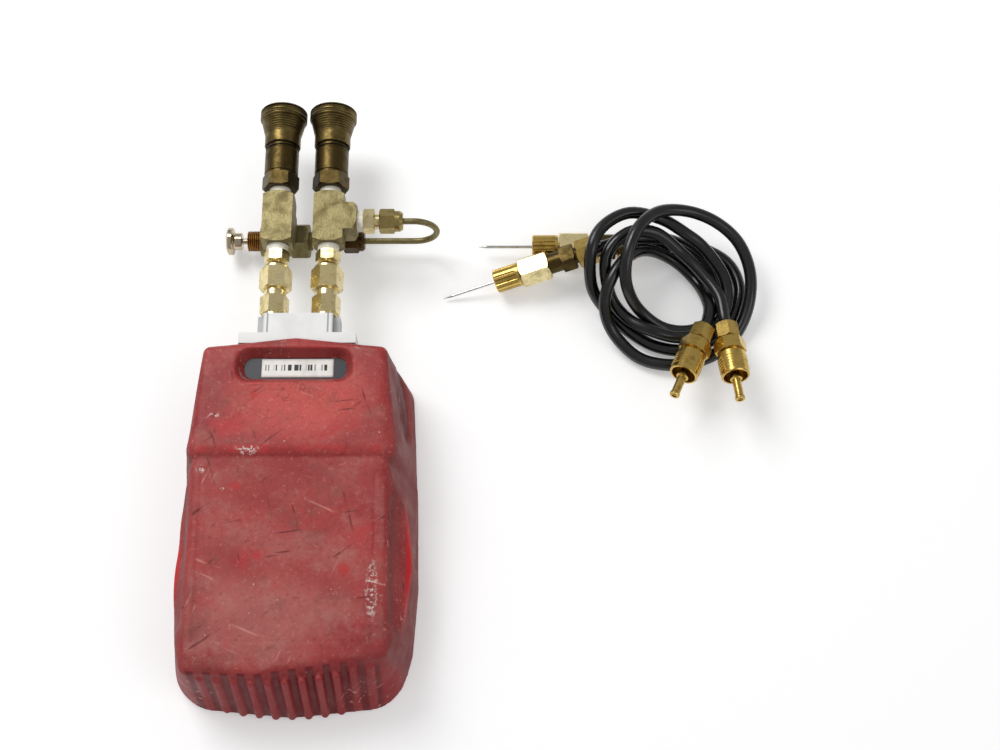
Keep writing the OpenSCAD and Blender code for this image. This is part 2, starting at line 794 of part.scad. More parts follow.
module tube_nut(side) {
  color("goldenrod") on_port(side) difference() {
    union() {
      hex_nut(nut_af, nut_y0, nut_y1, 10);
      turned([[0, nut_y1 - 1], [nut_af / 2 - 0.4, nut_y1 - 1], [nut_af / 2 - 0.4, nut_y1 + 1.2],
              [nut_af / 2 - 1.8, nut_y2], [0, nut_y2]]);
    }
    rod(neck_r + fit, nut_y0 - 1, neck_y + 0.4);
    turned([[0, neck_y + 0.3], [neck_r + fit, neck_y + 0.3], [stub_r + fit, nut_y1 + 0.8],
            [stub_r + fit, nut_y2 + 1], [0, nut_y2 + 1]]);
  }
}

module adapter(side) {
  color("goldenrod") on_port(side) difference() {
    union() {
      rod(stub_r, nut_y0 + 1.5, adapter_y0 + eps);
      hex_nut(adapter_af, adapter_y0, adapter_y1, 0, 0.5);
      rod(pipe_d / 2, adapter_y1 - eps, adapter_y1 + thread_depth);
    }
    rod(flow_r, nut_y0, adapter_y1 + thread_depth + 1);
  }
}

module tee(side) {
  branch_l = tee_reach;
  color("goldenrod") difference() {
    union() {
      on_port(side) square_bar(tee_w, tee_y0, tee_y1);
      if (side > 0)
        on_cross_axis(port_z) square_bar(tee_w - 0.3, right_x, branch_x);
      else
        translate([left_x, tee_y, 0]) square_bar(tee_w - 0.3, branch_z, port_z);
    }
    on_port(side) {
      rod(bore_r, tee_y0 - 1, tee_y0 + 7);
      rod(flow_r + 1, tee_y0, tee_y1);
      rod(bore_r, tee_y1 - 7.5, tee_y1 + 1);
    }
    if (side > 0)
      on_cross_axis(port_z) {
        rod(flow_r + 0.6, right_x, branch_x);
        rod(bore_r, branch_x - 7, branch_x + 1);
      }
    else
      translate([left_x, tee_y, 0]) {
        rod(flow_r + 0.6, branch_z, port_z);
        rod(bore_r, branch_z - 1, branch_z + 8);
      }
  }
}

module socket(side) {
  color("darkgoldenrod") on_port(side) difference() {
    union() {
      rod(pipe_d / 2, tee_y1 - 7, socket_y0 + eps);
      hex_nut(socket_af, socket_y0, socket_y1, 0);
      turned([[0, socket_y1 - 0.5], [shoulder_r - 0.5, socket_y1 - 0.5],
              [shoulder_r - 0.5, socket_y1 + 0.8], [shoulder_r, socket_y1 + 1.2],
              [shoulder_r, barrel_y - 0.6], [shoulder_r - 0.6, barrel_y], [0, barrel_y]]);
      rod(barrel_r, barrel_y - eps, barrel_end);
    }
    rod(flow_r, tee_y1 - 8, chamber_y0 + 1);
    rod(poppet_r + 0.3, chamber_y0, seat_y - 1.5);
    rod(seat_hole_r, seat_y - 2, seat_y + 4);
    rod(barrel_ri, barrel_end - skirt_depth, barrel_end + 1);
    for (i = [0:ball_count - 1]) rotate([0, 0, 45 + i * 360 / ball_count])
      translate([0, 0, ball_y]) along_x() rod(ball_r + fit, barrel_ri - 1, barrel_r + 1);
  }
}

module sleeve(side) {
  rim_r = sleeve_rim_d / 2;
  ring_w = (sleeve_y3 - sleeve_y2) / 5;
  rings = [for (i = [0:1], p = [[0, 0.5], [0, 1.2], [-0.45, 1.35], [-0.45, 1.85]])
    [rim_r + p[0], sleeve_y2 + (p[1] + i * 2) * ring_w]];
  color("darkgoldenrod") on_port(side) turned(concat(
    [[chamber_r, sleeve_y0], [sleeve_r - 0.3, sleeve_y0], [sleeve_r, sleeve_y0 + 0.3],
     [sleeve_r, sleeve_y1], [rim_r - 0.8, sleeve_y2 - 1], [rim_r, sleeve_y2]],
    rings,
    [[rim_r, sleeve_y3 - 0.7 * ring_w], [rim_r - 0.5, sleeve_y3], [groove_r + 0.8, sleeve_y3],
     [groove_r - 0.8, sleeve_y3 - 2.6], [groove_r, sleeve_y3 - 3], [groove_r, groove_y],
     [barrel_r + fit, groove_y], [barrel_r + fit, land_y], [chamber_r, land_y]]));
}

// Spring that pushes a sleeve forward, with its first and last turn lying flat
module sleeve_spring(side) {
  y0 = barrel_y + wire_r + 0.03;
  y1 = land_y - wire_r - 0.03;
  steps = 24;
  count = spring_turns * steps;
  color("silver") on_port(side)
    tube([for (i = [0:count])
      let (a = 360 * i / steps, t = min(max((i - steps / 2) / (count - steps), 0), 1))
        [spring_r * cos(a), spring_r * sin(a), lerp(y0, y1, t)]], wire_r, 6);
}

module ferrules() {
  color("goldenrod") {
    for (side = [-1, 1]) on_port(side)
      turned([[stub_r + fit / 2, neck_y + 0.1], [neck_r - 0.5, neck_y + 0.1],
              [stub_r + 0.35, nut_y1 - 0.4], [stub_r + fit / 2, nut_y1 - 0.4]]);
    on_cross_axis(port_z)
      ring(union_r - 0.6, tube_r + fit / 2, upper_x3 - 1.8, upper_x3 - 0.4);
    on_cross_axis(valve_z)
      ring(union_r - 0.6, tube_r + fit / 2, lower_x3 - 1.8, lower_x3 - 0.4);
  }
}

module thread_tape() {
  tape_r = pipe_d / 2 + 0.6;
  color("white") {
    for (side = [-1, 1]) on_port(side) {
      ring(tape_r, pipe_d / 2 + fit / 2, adapter_y1 + 0.05, tee_y0 - 0.05);
      ring(tape_r, pipe_d / 2 + fit / 2, tee_y1 + 0.05, socket_y0 - 0.05);
    }
    on_cross_axis(port_z)
      ring(tape_r, pipe_d / 2 + fit / 2, branch_x + 0.05, upper_x0 - 0.05);
  }
}

module lock_balls() {
  color("silver") for (side = [-1, 1], i = [0:ball_count - 1]) on_port(side)
    rotate([0, 0, 45 + i * 360 / ball_count])
      translate([ball_ring, 0, ball_y]) sphere(r = ball_r);
}

module socket_poppets() {
  color("goldenrod") for (side = [-1, 1]) on_port(side)
    turned([[0, chamber_y0 + 0.2], [1.2, chamber_y0 + 0.2], [1.2, seat_y - 4.6],
            [poppet_r, seat_y - 4.2], [poppet_r, seat_y - 2.3], [seat_hole_r, seat_y - 1.7],
            [seat_hole_r - 0.3, seat_y + 0.4], [0, seat_y + 0.4]]);
}

// ---------------------------------------------------------------- valve and bypass

module valve_body() {
  color("goldenrod") difference() {
    union() {
      on_cross_axis(valve_z) {
        rod(valve_r, valve_x0, valve_hex_x + eps);
        hex_nut(valve_af, valve_hex_x, valve_x1, 30, 1);
        rod(pipe_d / 2, valve_x1 - eps, valve_x1 + 1.5);
      }
      translate([left_x, tee_y, 0]) rod(pipe_d / 2, valve_z, branch_z + 7.5);
    }
    translate([left_x, tee_y, 0]) rod(flow_r, valve_z, branch_z + 8);
    on_cross_axis(valve_z) {
      rod(stem_r + fit, valve_x0 - 1, seat_x - 2);
      rod(bonnet_r - 0.9, valve_x0 - 1, valve_x0 + 4);
      rod(flow_r + 0.8, left_x - 3, seat_x);
      rod(tip_r - 0.2, seat_x - 1, valve_x1);
      rod(union_r - 0.4, valve_x1 - 6, valve_x1 + 2);
    }
  }
}

module valve_bonnet() {
  color("peru") on_cross_axis(valve_z) difference() {
    union() {
      rod(bonnet_r, bonnet_x, valve_x0 - 0.05);
      rod(bonnet_r - 0.9 - fit, valve_x0 - 0.1, valve_x0 + 3.8);
    }
    rod(stem_r + fit, bonnet_x - 1, valve_x0 + 4);
    rod(packing_r + fit, bonnet_x + 2, bonnet_x + 5.1);
  }
}

module valve_packing() {
  color("white") on_cross_axis(valve_z)
    ring(packing_r, stem_r + fit, bonnet_x + 2.05, bonnet_x + 5.05);
}

module valve_stem() {
  color("silver") on_cross_axis(valve_z)
    turned([[0, knob_x0 + 0.5], [stem_r, knob_x0 + 0.5], [stem_r, seat_x - 2.4],
            [tip_r, seat_x - 0.6], [0.5, seat_x - 0.1], [0, seat_x - 0.1]]);
}

module valve_knob() {
  color("silver") on_cross_axis(valve_z) difference() {
    turned([[0, knob_x0], [knob_d / 2 - 1, knob_x0], [knob_d / 2, knob_x0 + 0.8],
            [knob_d / 2, knob_x0 + disc_t - 0.6], [knob_d / 2 - 0.6, knob_x0 + disc_t],
            [hub_r + 0.5, knob_x0 + disc_t + 0.3], [hub_r, knob_x0 + disc_t + 0.9],
            [hub_r, knob_x1 - 0.4], [hub_r - 0.4, knob_x1], [0, knob_x1]]);
    rod(stem_r + fit, knob_x0 + 0.4, knob_x1 + 1);
    translate([0, 0, knob_x1 - 2.4]) along_y() rod(0.9 + fit, 0, hub_r + 1);
  }
}

module knob_set_screw() {
  color("dimgray") on_cross_axis(valve_z)
    translate([0, 0, knob_x1 - 2.4]) along_y() difference() {
      rod(0.9, stem_r + 0.1, hub_r - 0.3);
      translate([0, 0, hub_r - 1.3]) cylinder(r = 0.5, h = 2, $fn = 6);
    }
}

// A small union from its hexagon to the end of its thread, with a blind shank behind
module small_union(z0, z1, z2, shank) {
  difference() {
    union() {
      rod(shank[0], shank[1], z0 + eps);
      hex_nut(union_af, z0, z1, 0, 0.5);
      rod(union_r, z1 - eps, z2);
    }
    rod(tube_r + fit, z1, z2 + 1);
    rod(1, shank[1] - 1, z1 + 1);
  }
}

module small_nut(af, z0, z1, z2, thread_end) {
  difference() {
    union() {
      hex_nut(af, z0, z1, 0, 0.6);
      turned([[0, z1 - 1], [af / 2 - 0.2, z1 - 1], [af / 2 - 0.2, z1 + (z2 - z1) * 0.6],
              [af / 2 - 1.2, z2], [0, z2]]);
    }
    rod(union_r + fit, z0 - 1, thread_end);
    rod(tube_r + fit, z0, z2 + 1);
  }
}

module bypass_connectors() {
  color("goldenrod") {
    on_cross_axis(port_z)
      small_union(upper_x0, upper_x1, upper_x3 - 2, [pipe_d / 2, branch_x - 6.8]);
    on_cross_axis(valve_z)
      small_union(lower_x0, lower_x1, lower_x3 - 2, [union_r - 0.4 - fit, valve_x1 - 5.5]);
  }
}

module bypass_nuts() {
  color("goldenrod") on_cross_axis(port_z)
    small_nut(union_af, upper_x2, upper_x3, upper_x4, upper_x3 - 0.2);
  color("saddlebrown") on_cross_axis(valve_z)
    small_nut(union_af, lower_x2, lower_x3, lower_x4, lower_x3 - 0.2);
}

module bypass_tube() {
  color("goldenrod") {
    on_cross_axis(port_z) rod(tube_r, upper_x1 + 2, tube_reach + eps);
    on_cross_axis(valve_z) rod(tube_r, lower_x1 + 4, tube_reach + eps);
    translate([tube_reach, tee_y, (port_z + valve_z) / 2]) rotate([90, 0, 0])
      rotate_extrude(angle = 180, start = -90) translate([bend_r, 0]) circle(r = tube_r);
  }
}

// ---------------------------------------------------------------- hose ends

// Places a hose end drawn along +Z from its tip end
module lie(at, turn, tilt)
  translate(at) rotate([0, 0, turn]) rotate([0, 90 - tilt, 0]) children();

module probe_gland() {
  groove_count = 18;
  color("goldenrod") difference() {
    turned([[0, 0], [gland_d / 2 - 0.6, 0], [gland_d / 2, 0.6], [gland_d / 2, gland_l],
            [0, gland_l]]);
    rod(needle_d / 2 + fit, -1, gland_l + 1);
    for (i = [0:groove_count - 1]) rotate([0, 0, i * 360 / groove_count])
      translate([gland_d / 2 + 0.15, 0, -1]) cylinder(r = 0.6, h = gland_l - 0.5, $fn = 4);
  }
}

module probe_body() {
  color("goldenrod") difference() {
    union() {
      hex_nut(probe_nut_af, probe_s1, probe_s2, 30, 0.8);
      rod(needle_d / 2 + 2, gland_l + 0.05, probe_s1 + eps);
    }
    rod(needle_d / 2 + fit, gland_l, probe_s1 + 6);
    rod(probe_neck_r + fit, probe_s1 + 4, probe_s2 + 1);
  }
}

module probe_adapter() {
  color("goldenrod") difference() {
    union() {
      rod(probe_neck_r, probe_s1 + 6, probe_s3 + eps);
      hex_nut(probe_hex_af, probe_s3, probe_s4, 30, 0.6);
      rod(4.2, probe_s4 - eps, probe_s5 + 3);
    }
    rod(1.2, probe_s1 + 5, probe_s5 + 4);
  }
}

module needles() {
  for (p = [[probe_a_at, probe_a_turn, probe_a_tilt], [probe_b_at, probe_b_turn, probe_b_tilt]])
    lie(p[0], p[1], p[2])
      color("silver") turned([[0, -needle_l], [needle_d / 6, -needle_l + 1],
        [needle_d / 2, -needle_l + 5], [needle_d / 2, probe_s1 + 3], [0, probe_s1 + 3]]);
}

// Point at the distance s along a hose end that lies at a place with a turn and a tilt
function along(at, turn, tilt, s) =
  at + s * [cos(tilt) * cos(turn), cos(tilt) * sin(turn), sin(tilt)];

// Whole route of a hose, which runs straight out of the nut at each end
function hose_route(points, plug, probe) = smooth(concat(
  [for (s = [plug_s4 + 3.05, plug_s5, plug_s5 + 6]) along(plug[0], plug[1], plug[2], s)],
  points,
  [for (s = [probe_s6 + 6, probe_s6, probe_s5 + 3.05]) along(probe[0], probe[1], probe[2], s)]),
  hose_steps);
hose_a_route = hose_route(hose_a_points, [plug_a_at, plug_a_turn, plug_a_tilt],
                          [probe_a_at, probe_a_turn, probe_a_tilt]);
hose_b_route = hose_route(hose_b_points, [plug_b_at, plug_b_turn, plug_b_tilt],
                          [probe_b_at, probe_b_turn, probe_b_tilt]);

// Least gap between the turns of the hoses, left out between rings next to each other
hose_rings = concat(hose_a_route, hose_b_route);
hose_gap = min([for (i = [0:len(hose_rings) - 1], j = [i + 1:1:len(hose_rings) - 1])
  if (j - i > 6 || (i < len(hose_a_route) && j >= len(hose_a_route)))
    norm(hose_rings[i] - hose_rings[j])]) - hose_d;
echo(least_gap_between_hose_turns = hose_gap);

module hose(route) color("black") tube(route, hose_r, hose_sides);

// Nut that grips a hose against the barb behind it, from height z0 to z1
module hose_nut(af, z0, z1) {
  difference() {
    hex_nut(af, z0, z1, 0, 0.6);
    rod(4.2 + fit, z0 - 1, z0 + 3.4);
    rod(hose_r + 0.3, z0 + 3, z1 + 1);
  }
}

module plug_body() {
  ring_step = 1.6;
  rings = [for (i = [0:4], p = [[0.25, 0.1], [0.25, 0.9], [0, 1.1], [0, 1.5]])
    [skirt_d / 2 + p[0], 3 + i * ring_step + p[1]]];
  color("gold") difference() {
    union() {
      turned(concat([[0, 0], [skirt_d / 2 - 0.3, 0], [skirt_d / 2, 0.4], [skirt_d / 2, 3]],
                    rings, [[skirt_d / 2, plug_s1], [5.6, plug_s1 + 0.6], [5.6, plug_s2 + eps],
                            [0, plug_s2 + eps]]));
      hex_nut(nut_af, plug_s2, plug_s3, 30, 0.8);
      rod(4.8, plug_s3 - eps, plug_s4);
      rod(4.2, plug_s4 - eps, plug_s4 + 3);
    }
    rod(skirt_d / 2 - 1.1, -1, 8);
    rod(pin_d / 2 + fit, 7, 14);
    rod(1.2, 13, plug_s4 + 4);
  }
}

// Hollow pins of the plugs, with a collar at the skirt's mouth and a cross bar in the tip
module plug_pins() {
  for (p = [[plug_a_at, plug_a_turn, plug_a_tilt], [plug_b_at, plug_b_turn, plug_b_tilt]])
    lie(p[0], p[1], p[2]) color("gold") {
      difference() {
        turned([[0, -pin_out], [pin_d / 2 + 0.1, -pin_out], [pin_d / 2 + 0.3, -pin_out + 0.4],
                [pin_d / 2 + 0.3, -pin_out + 1.2], [pin_d / 2 - 0.1, -pin_out + 1.8],
                [pin_d / 2 - 0.1, -2], [pin_d / 2 + 0.8, -1.6], [pin_d / 2 + 0.8, -0.4],
                [pin_d / 2, 0], [pin_d / 2, 13.5], [0, 13.5]]);
        rod(pin_d / 2 - 0.9, -pin_out - 1, 14);
      }
      translate([-0.35, -pin_d / 2 + 0.6, -pin_out + 0.2]) cube([0.7, pin_d - 1.2, 3]);
    }
}

module hose_nuts() {
  for (p = [[probe_a_at, probe_a_turn, probe_a_tilt], [probe_b_at, probe_b_turn, probe_b_tilt]])
    lie(p[0], p[1], p[2]) color("goldenrod") hose_nut(probe_hex_af, probe_s5, probe_s6);
  for (p = [[plug_a_at, plug_a_turn, plug_a_tilt], [plug_b_at, plug_b_turn, plug_b_tilt]])
    lie(p[0], p[1], p[2]) color("goldenrod") hose_nut(hose_nut_af, plug_s4 + 0.1, plug_s5);
}

// ---------------------------------------------------------------- model

// Puts the origin on the boot's rim, in the middle of its near end
module at_rim() translate([0, half_l - 3, 0]) children();

at_rim() rubber_boot();
at_rim() case_back();
at_rim() case_front();
at_rim() battery_door();
at_rim() battery_cells();
at_rim() circuit_board();
at_rim() pressure_sensor();
at_rim() sensor_tubes();
at_rim() display_module();
at_rim() display_lens();
at_rim() key(1);  // key_1
at_rim() key(2);  // key_2
at_rim() key(3);  // key_3
at_rim() key(4);  // key_4
at_rim() key(5);  // key_5
at_rim() key(6);  // key_6
at_rim() case_screws();
at_rim() port_block();
at_rim() connector(-1);  // left_connector
at_rim() tube_nut(-1);  // left_nut
at_rim() adapter(-1);  // left_adapter
at_rim() tee(-1);  // left_tee
at_rim() socket(-1);  // left_socket
at_rim() sleeve(-1);  // left_sleeve
at_rim() sleeve_spring(-1);  // left_sleeve_spring
at_rim() connector(1);  // right_connector
at_rim() tube_nut(1);  // right_nut
at_rim() adapter(1);  // right_adapter
at_rim() tee(1);  // right_tee
at_rim() socket(1);  // right_socket
at_rim() sleeve(1);  // right_sleeve
at_rim() sleeve_spring(1);  // right_sleeve_spring
at_rim() ferrules();
at_rim() thread_tape();
at_rim() lock_balls();
at_rim() socket_poppets();
at_rim() valve_body();
at_rim() valve_bonnet();
at_rim() valve_packing();
at_rim() valve_stem();
at_rim() valve_knob();
at_rim() knob_set_screw();
at_rim() bypass_connectors();
at_rim() bypass_nuts();
at_rim() bypass_tube();
at_rim() hose(hose_a_route);  // hose_a
at_rim() hose(hose_b_route);  // hose_b
at_rim() lie(probe_a_at, probe_a_turn, probe_a_tilt) probe_gland();  // probe_gland_a
at_rim() lie(probe_b_at, probe_b_turn, probe_b_tilt) probe_gland();  // probe_gland_b
at_rim() lie(probe_a_at, probe_a_turn, probe_a_tilt) probe_body();  // probe_body_a
at_rim() lie(probe_b_at, probe_b_turn, probe_b_tilt) probe_body();  // probe_body_b
at_rim() lie(probe_a_at, probe_a_turn, probe_a_tilt) probe_adapter();  // probe_adapter_a
at_rim() lie(probe_b_at, probe_b_turn, probe_b_tilt) probe_adapter();  // probe_adapter_b
at_rim() lie(plug_a_at, plug_a_turn, plug_a_tilt) plug_body();  // plug_body_a
at_rim() lie(plug_b_at, plug_b_turn, plug_b_tilt) plug_body();  // plug_body_b
at_rim() needles();  // probe_needles
at_rim() plug_pins();
at_rim() hose_nuts();
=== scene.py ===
import math
import bmesh
import bpy
from mathutils import Matrix, Vector, noise
from mathutils.bvhtree import BVHTree


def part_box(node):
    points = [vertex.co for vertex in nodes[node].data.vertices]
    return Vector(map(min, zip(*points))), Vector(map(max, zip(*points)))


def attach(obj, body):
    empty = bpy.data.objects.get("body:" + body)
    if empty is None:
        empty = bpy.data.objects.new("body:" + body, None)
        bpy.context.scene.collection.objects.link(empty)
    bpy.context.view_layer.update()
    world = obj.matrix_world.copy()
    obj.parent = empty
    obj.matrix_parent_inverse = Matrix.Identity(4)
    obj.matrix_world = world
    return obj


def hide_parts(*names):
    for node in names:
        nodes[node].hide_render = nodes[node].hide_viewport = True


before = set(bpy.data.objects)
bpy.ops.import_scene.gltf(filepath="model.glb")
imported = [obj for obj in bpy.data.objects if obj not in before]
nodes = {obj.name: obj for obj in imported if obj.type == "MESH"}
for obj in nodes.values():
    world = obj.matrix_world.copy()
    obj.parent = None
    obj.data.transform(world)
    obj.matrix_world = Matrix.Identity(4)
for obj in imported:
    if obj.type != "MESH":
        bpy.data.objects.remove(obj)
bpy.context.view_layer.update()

scene = bpy.context.scene
MM = 0.001
RIM_Y = 84.5  # mm from the middle of the boot to the origin on its rim


# ---------------------------------------------------------------- camera

CAM_PLACE = (0.1002455, RIM_Y * MM - 0.208328, 0.771864)
CAM_FORWARD = (0.0, 0.358368, -0.933580)
CAM_ROLL = -0.1493  # degrees

cam_data = bpy.data.cameras.new("camera")
cam_data.lens = 57.6
cam_data.sensor_width = 36.0
cam_data.sensor_fit = "HORIZONTAL"
cam_data.clip_start = 0.05
cam_data.clip_end = 20.0
cam = bpy.data.objects.new("camera", cam_data)
scene.collection.objects.link(cam)
forward = Vector(CAM_FORWARD).normalized()
right = Vector((1.0, 0.0, 0.0))
up = right.cross(forward)
roll = math.radians(CAM_ROLL)
right_r = math.cos(roll) * right + math.sin(roll) * up
up_r = -math.sin(roll) * right + math.cos(roll) * up
rot = Matrix((right_r, up_r, -forward)).transposed()
cam.matrix_world = Matrix.Translation(CAM_PLACE) @ rot.to_4x4()
scene.camera = cam


# ---------------------------------------------------------------- material helpers

def rgb(r, g, b):
    """Linear colour of an sRGB colour given in 0 to 255."""
    def lin(v):
        v /= 255.0
        return v / 12.92 if v <= 0.04045 else ((v + 0.055) / 1.055) ** 2.4
    return (lin(r), lin(g), lin(b), 1.0)


WAVE_TURN = 0.314159  # a Wave texture of scale s has its crests this far apart, over s


class Mat:
    """A principled material with short calls for the nodes that feed it."""

    def __init__(self, name, **sockets):
        self.m = bpy.data.materials.new(name)
        self.m.use_nodes = True
        self.nt = self.m.node_tree
        self.bsdf = self.nt.nodes["Principled BSDF"]
        self.coord = self.nt.nodes.new("ShaderNodeTexCoord").outputs["Object"]
        for key, value in sockets.items():
            self.bsdf.inputs[key.replace("_", " ")].default_value = value

    def link(self, a, b):
        self.nt.links.new(a, b)

    def put(self, node_input, value):
        if isinstance(value, bpy.types.NodeSocket):
            self.link(value, node_input)
        else:
            node_input.default_value = value

    def mapped(self, scale=(1, 1, 1), turn=(0, 0, 0), shift=(0, 0, 0), kind="POINT"):
        n = self.nt.nodes.new("ShaderNodeMapping")
        n.vector_type = kind
        self.link(self.coord, n.inputs["Vector"])
        n.inputs["Scale"].default_value = scale
        n.inputs["Rotation"].default_value = turn
        n.inputs["Location"].default_value = shift
        return n.outputs["Vector"]

    def noise(self, scale, detail=4.0, rough=0.55, vector=None, distort=0.0):
        n = self.nt.nodes.new("ShaderNodeTexNoise")
        self.link(vector or self.coord, n.inputs["Vector"])
        n.inputs["Scale"].default_value = scale
        n.inputs["Detail"].default_value = detail
        n.inputs["Roughness"].default_value = rough
        n.inputs["Distortion"].default_value = distort
        return n.outputs["Fac"]

    def cells(self, scale, vector=None, feature="F1"):
        n = self.nt.nodes.new("ShaderNodeTexVoronoi")
        n.feature = feature
        self.link(vector or self.coord, n.inputs["Vector"])
        n.inputs["Scale"].default_value = scale
        return n.outputs["Distance"]

    def warped(self, scale, amount):
        """The coordinate, pushed about by a noise, in metres."""
        n = self.nt.nodes.new("ShaderNodeTexNoise")
        self.link(self.coord, n.inputs["Vector"])
        n.inputs["Scale"].default_value = scale
        add = self.nt.nodes.new("ShaderNodeVectorMath")
        add.operation = "MULTIPLY_ADD"
        self.link(n.outputs["Color"], add.inputs[0])
        add.inputs[1].default_value = (amount, amount, amount)
        self.link(self.coord, add.inputs[2])
        return add.outputs[0]

    def ridges(self, pitch, direction):
        """A sine wave from 0 to 1 with its crests a pitch apart, in metres."""
        n = self.nt.nodes.new("ShaderNodeTexWave")
        n.bands_direction = direction
        self.link(self.coord, n.inputs["Vector"])
        n.inputs["Scale"].default_value = WAVE_TURN / pitch
        return n.outputs["Fac"]

    def math(self, op, a, b=0.5):
        n = self.nt.nodes.new("ShaderNodeMath")
        n.operation = op
        self.put(n.inputs[0], a)
        self.put(n.inputs[1], b)
        return n.outputs[0]

    def times(self, a, b):
        return self.math("MULTIPLY", a, b)

    def span(self, value, low, high, to_low=0.0, to_high=1.0):
        n = self.nt.nodes.new("ShaderNodeMapRange")
        n.interpolation_type = "SMOOTHSTEP"
        self.link(value, n.inputs["Value"])
        n.inputs["From Min"].default_value = low
        n.inputs["From Max"].default_value = high
        n.inputs["To Min"].default_value = to_low
        n.inputs["To Max"].default_value = to_high
        return n.outputs["Result"]

    def mix(self, fac, a, b):
        n = self.nt.nodes.new("ShaderNodeMix")
        n.data_type = "RGBA"
        self.put(n.inputs[0], fac)
        self.put(n.inputs[6], a)
        self.put(n.inputs[7], b)
        return n.outputs[2]

    def pointiness(self):
        return self.nt.nodes.new("ShaderNodeNewGeometry").outputs["Pointiness"]

    def normal_z(self):
        n = self.nt.nodes.new("ShaderNodeSeparateXYZ")
        self.link(self.nt.nodes.new("ShaderNodeNewGeometry").outputs["Normal"], n.inputs[0])
        return n.outputs[2]

    def grooves(self):
        """1 in the grooves between the grip ribs of the boot's near end, for their painted shade."""
        ax = self.axes()
        place = self.math("DIVIDE", self.math("SUBTRACT", ax[0], RIB_X), RIB_PITCH)
        wave = self.math("PINGPONG", place, 0.5)
        near = self.times(self.span(ax[1], 0.018, 0.014),
                         self.span(self.normal_z(), 0.75, 0.55))
        near = self.times(near, self.span(self.math("ABSOLUTE", ax[0]), 0.046, 0.043))
        return self.times(self.span(wave, 0.20, 0.34), near)

    def axes(self):
        n = self.nt.nodes.new("ShaderNodeSeparateXYZ")
        self.link(self.coord, n.inputs[0])
        return n.outputs

    def band(self, value, middle, half):
        """1 near a value, falling to 0 at half on either side of it."""
        away = self.math("ABSOLUTE", self.math("SUBTRACT", value, middle))
        return self.span(away, half, half * 0.5)

    def ellipse(self, u, v, mid_u, mid_v, ru, rv):
        """0 in the middle of an ellipse, 1 on it, and more outside it."""
        du = self.math("DIVIDE", self.math("SUBTRACT", u, mid_u), ru)
        dv = self.math("DIVIDE", self.math("SUBTRACT", v, mid_v), rv)
        return self.math("ADD", self.times(du, du), self.times(dv, dv))

    def spot(self, x, y, rx, ry):
        """1 at a place on the plan, falling to 0 at the radii, in metres."""
        ax = self.axes()
        return self.span(self.ellipse(ax[0], ax[1], x, y, rx, ry), 1.0, 0.0)

    def bump(self, height, strength, distance):
        n = self.nt.nodes.new("ShaderNodeBump")
        self.link(height, n.inputs["Height"])
        n.inputs["Strength"].default_value = strength
        n.inputs["Distance"].default_value = distance
        return n.outputs["Normal"]

    def set(self, **sockets):
        for key, value in sockets.items():
            self.put(self.bsdf.inputs[key.replace("_", " ")], value)
        return self.m


# ---------------------------------------------------------------- materials

# Places on the boot, in metres: clean round spots (x, y, radius), tones of the back (x, y, two
# radii, amount, colour), the darker one below the step being painted shade, and pale scuffs
# (x, y, two radii)
CLEAN_SPOTS = [(-0.0185, 0.1445, 0.0028), (-0.0250, 0.0985, 0.0030), (-0.0135, 0.0655, 0.0030),
               (0.0275, 0.0585, 0.0040)]
BACK_TONES_AND_SHADE = [(0.004, 0.1420, 0.046, 0.028, 0.65, (212, 88, 80)),
              (0.000, 0.0980, 0.046, 0.022, 0.45, (160, 58, 56)),
              (-0.012, 0.0360, 0.042, 0.026, 0.45, (192, 122, 114))]
SCUFFS = [(0.0405, 0.0485, 0.0035, 0.017), (-0.0370, 0.1330, 0.0035, 0.0022),
          (-0.0420, 0.1070, 0.0030, 0.0026), (-0.0310, 0.0975, 0.0016, 0.0014),
          (-0.0200, 0.1160, 0.0080, 0.0030)]
# Shading of the port block: columns (x, half width) and edge lines (x)
PORT_COLUMNS = [(-0.0190, 0.0030), (0.0190, 0.0030)]
PORT_EDGES = [-0.0150, 0.0150]
# Rings on the sockets' collars, from the flare on
RING_PITCH = 0.00125
SLEEVE_FLARE_Y = 0.2930
# Forms of the boot: dimples in its sides, foot of its higher part, lips of its scoops, ribs
DIMPLE_Y = 0.1470
DIMPLE_Z = 0.0225
LEDGE_Y = 0.1165
LIP_Z = 0.0288
LIP_Y = 0.0650
RIB_X = 0.0010
RIB_PITCH = 0.0078
SCRATCH_TURNS = (0.3, 1.15, 2.2, 2.75, 1.7)


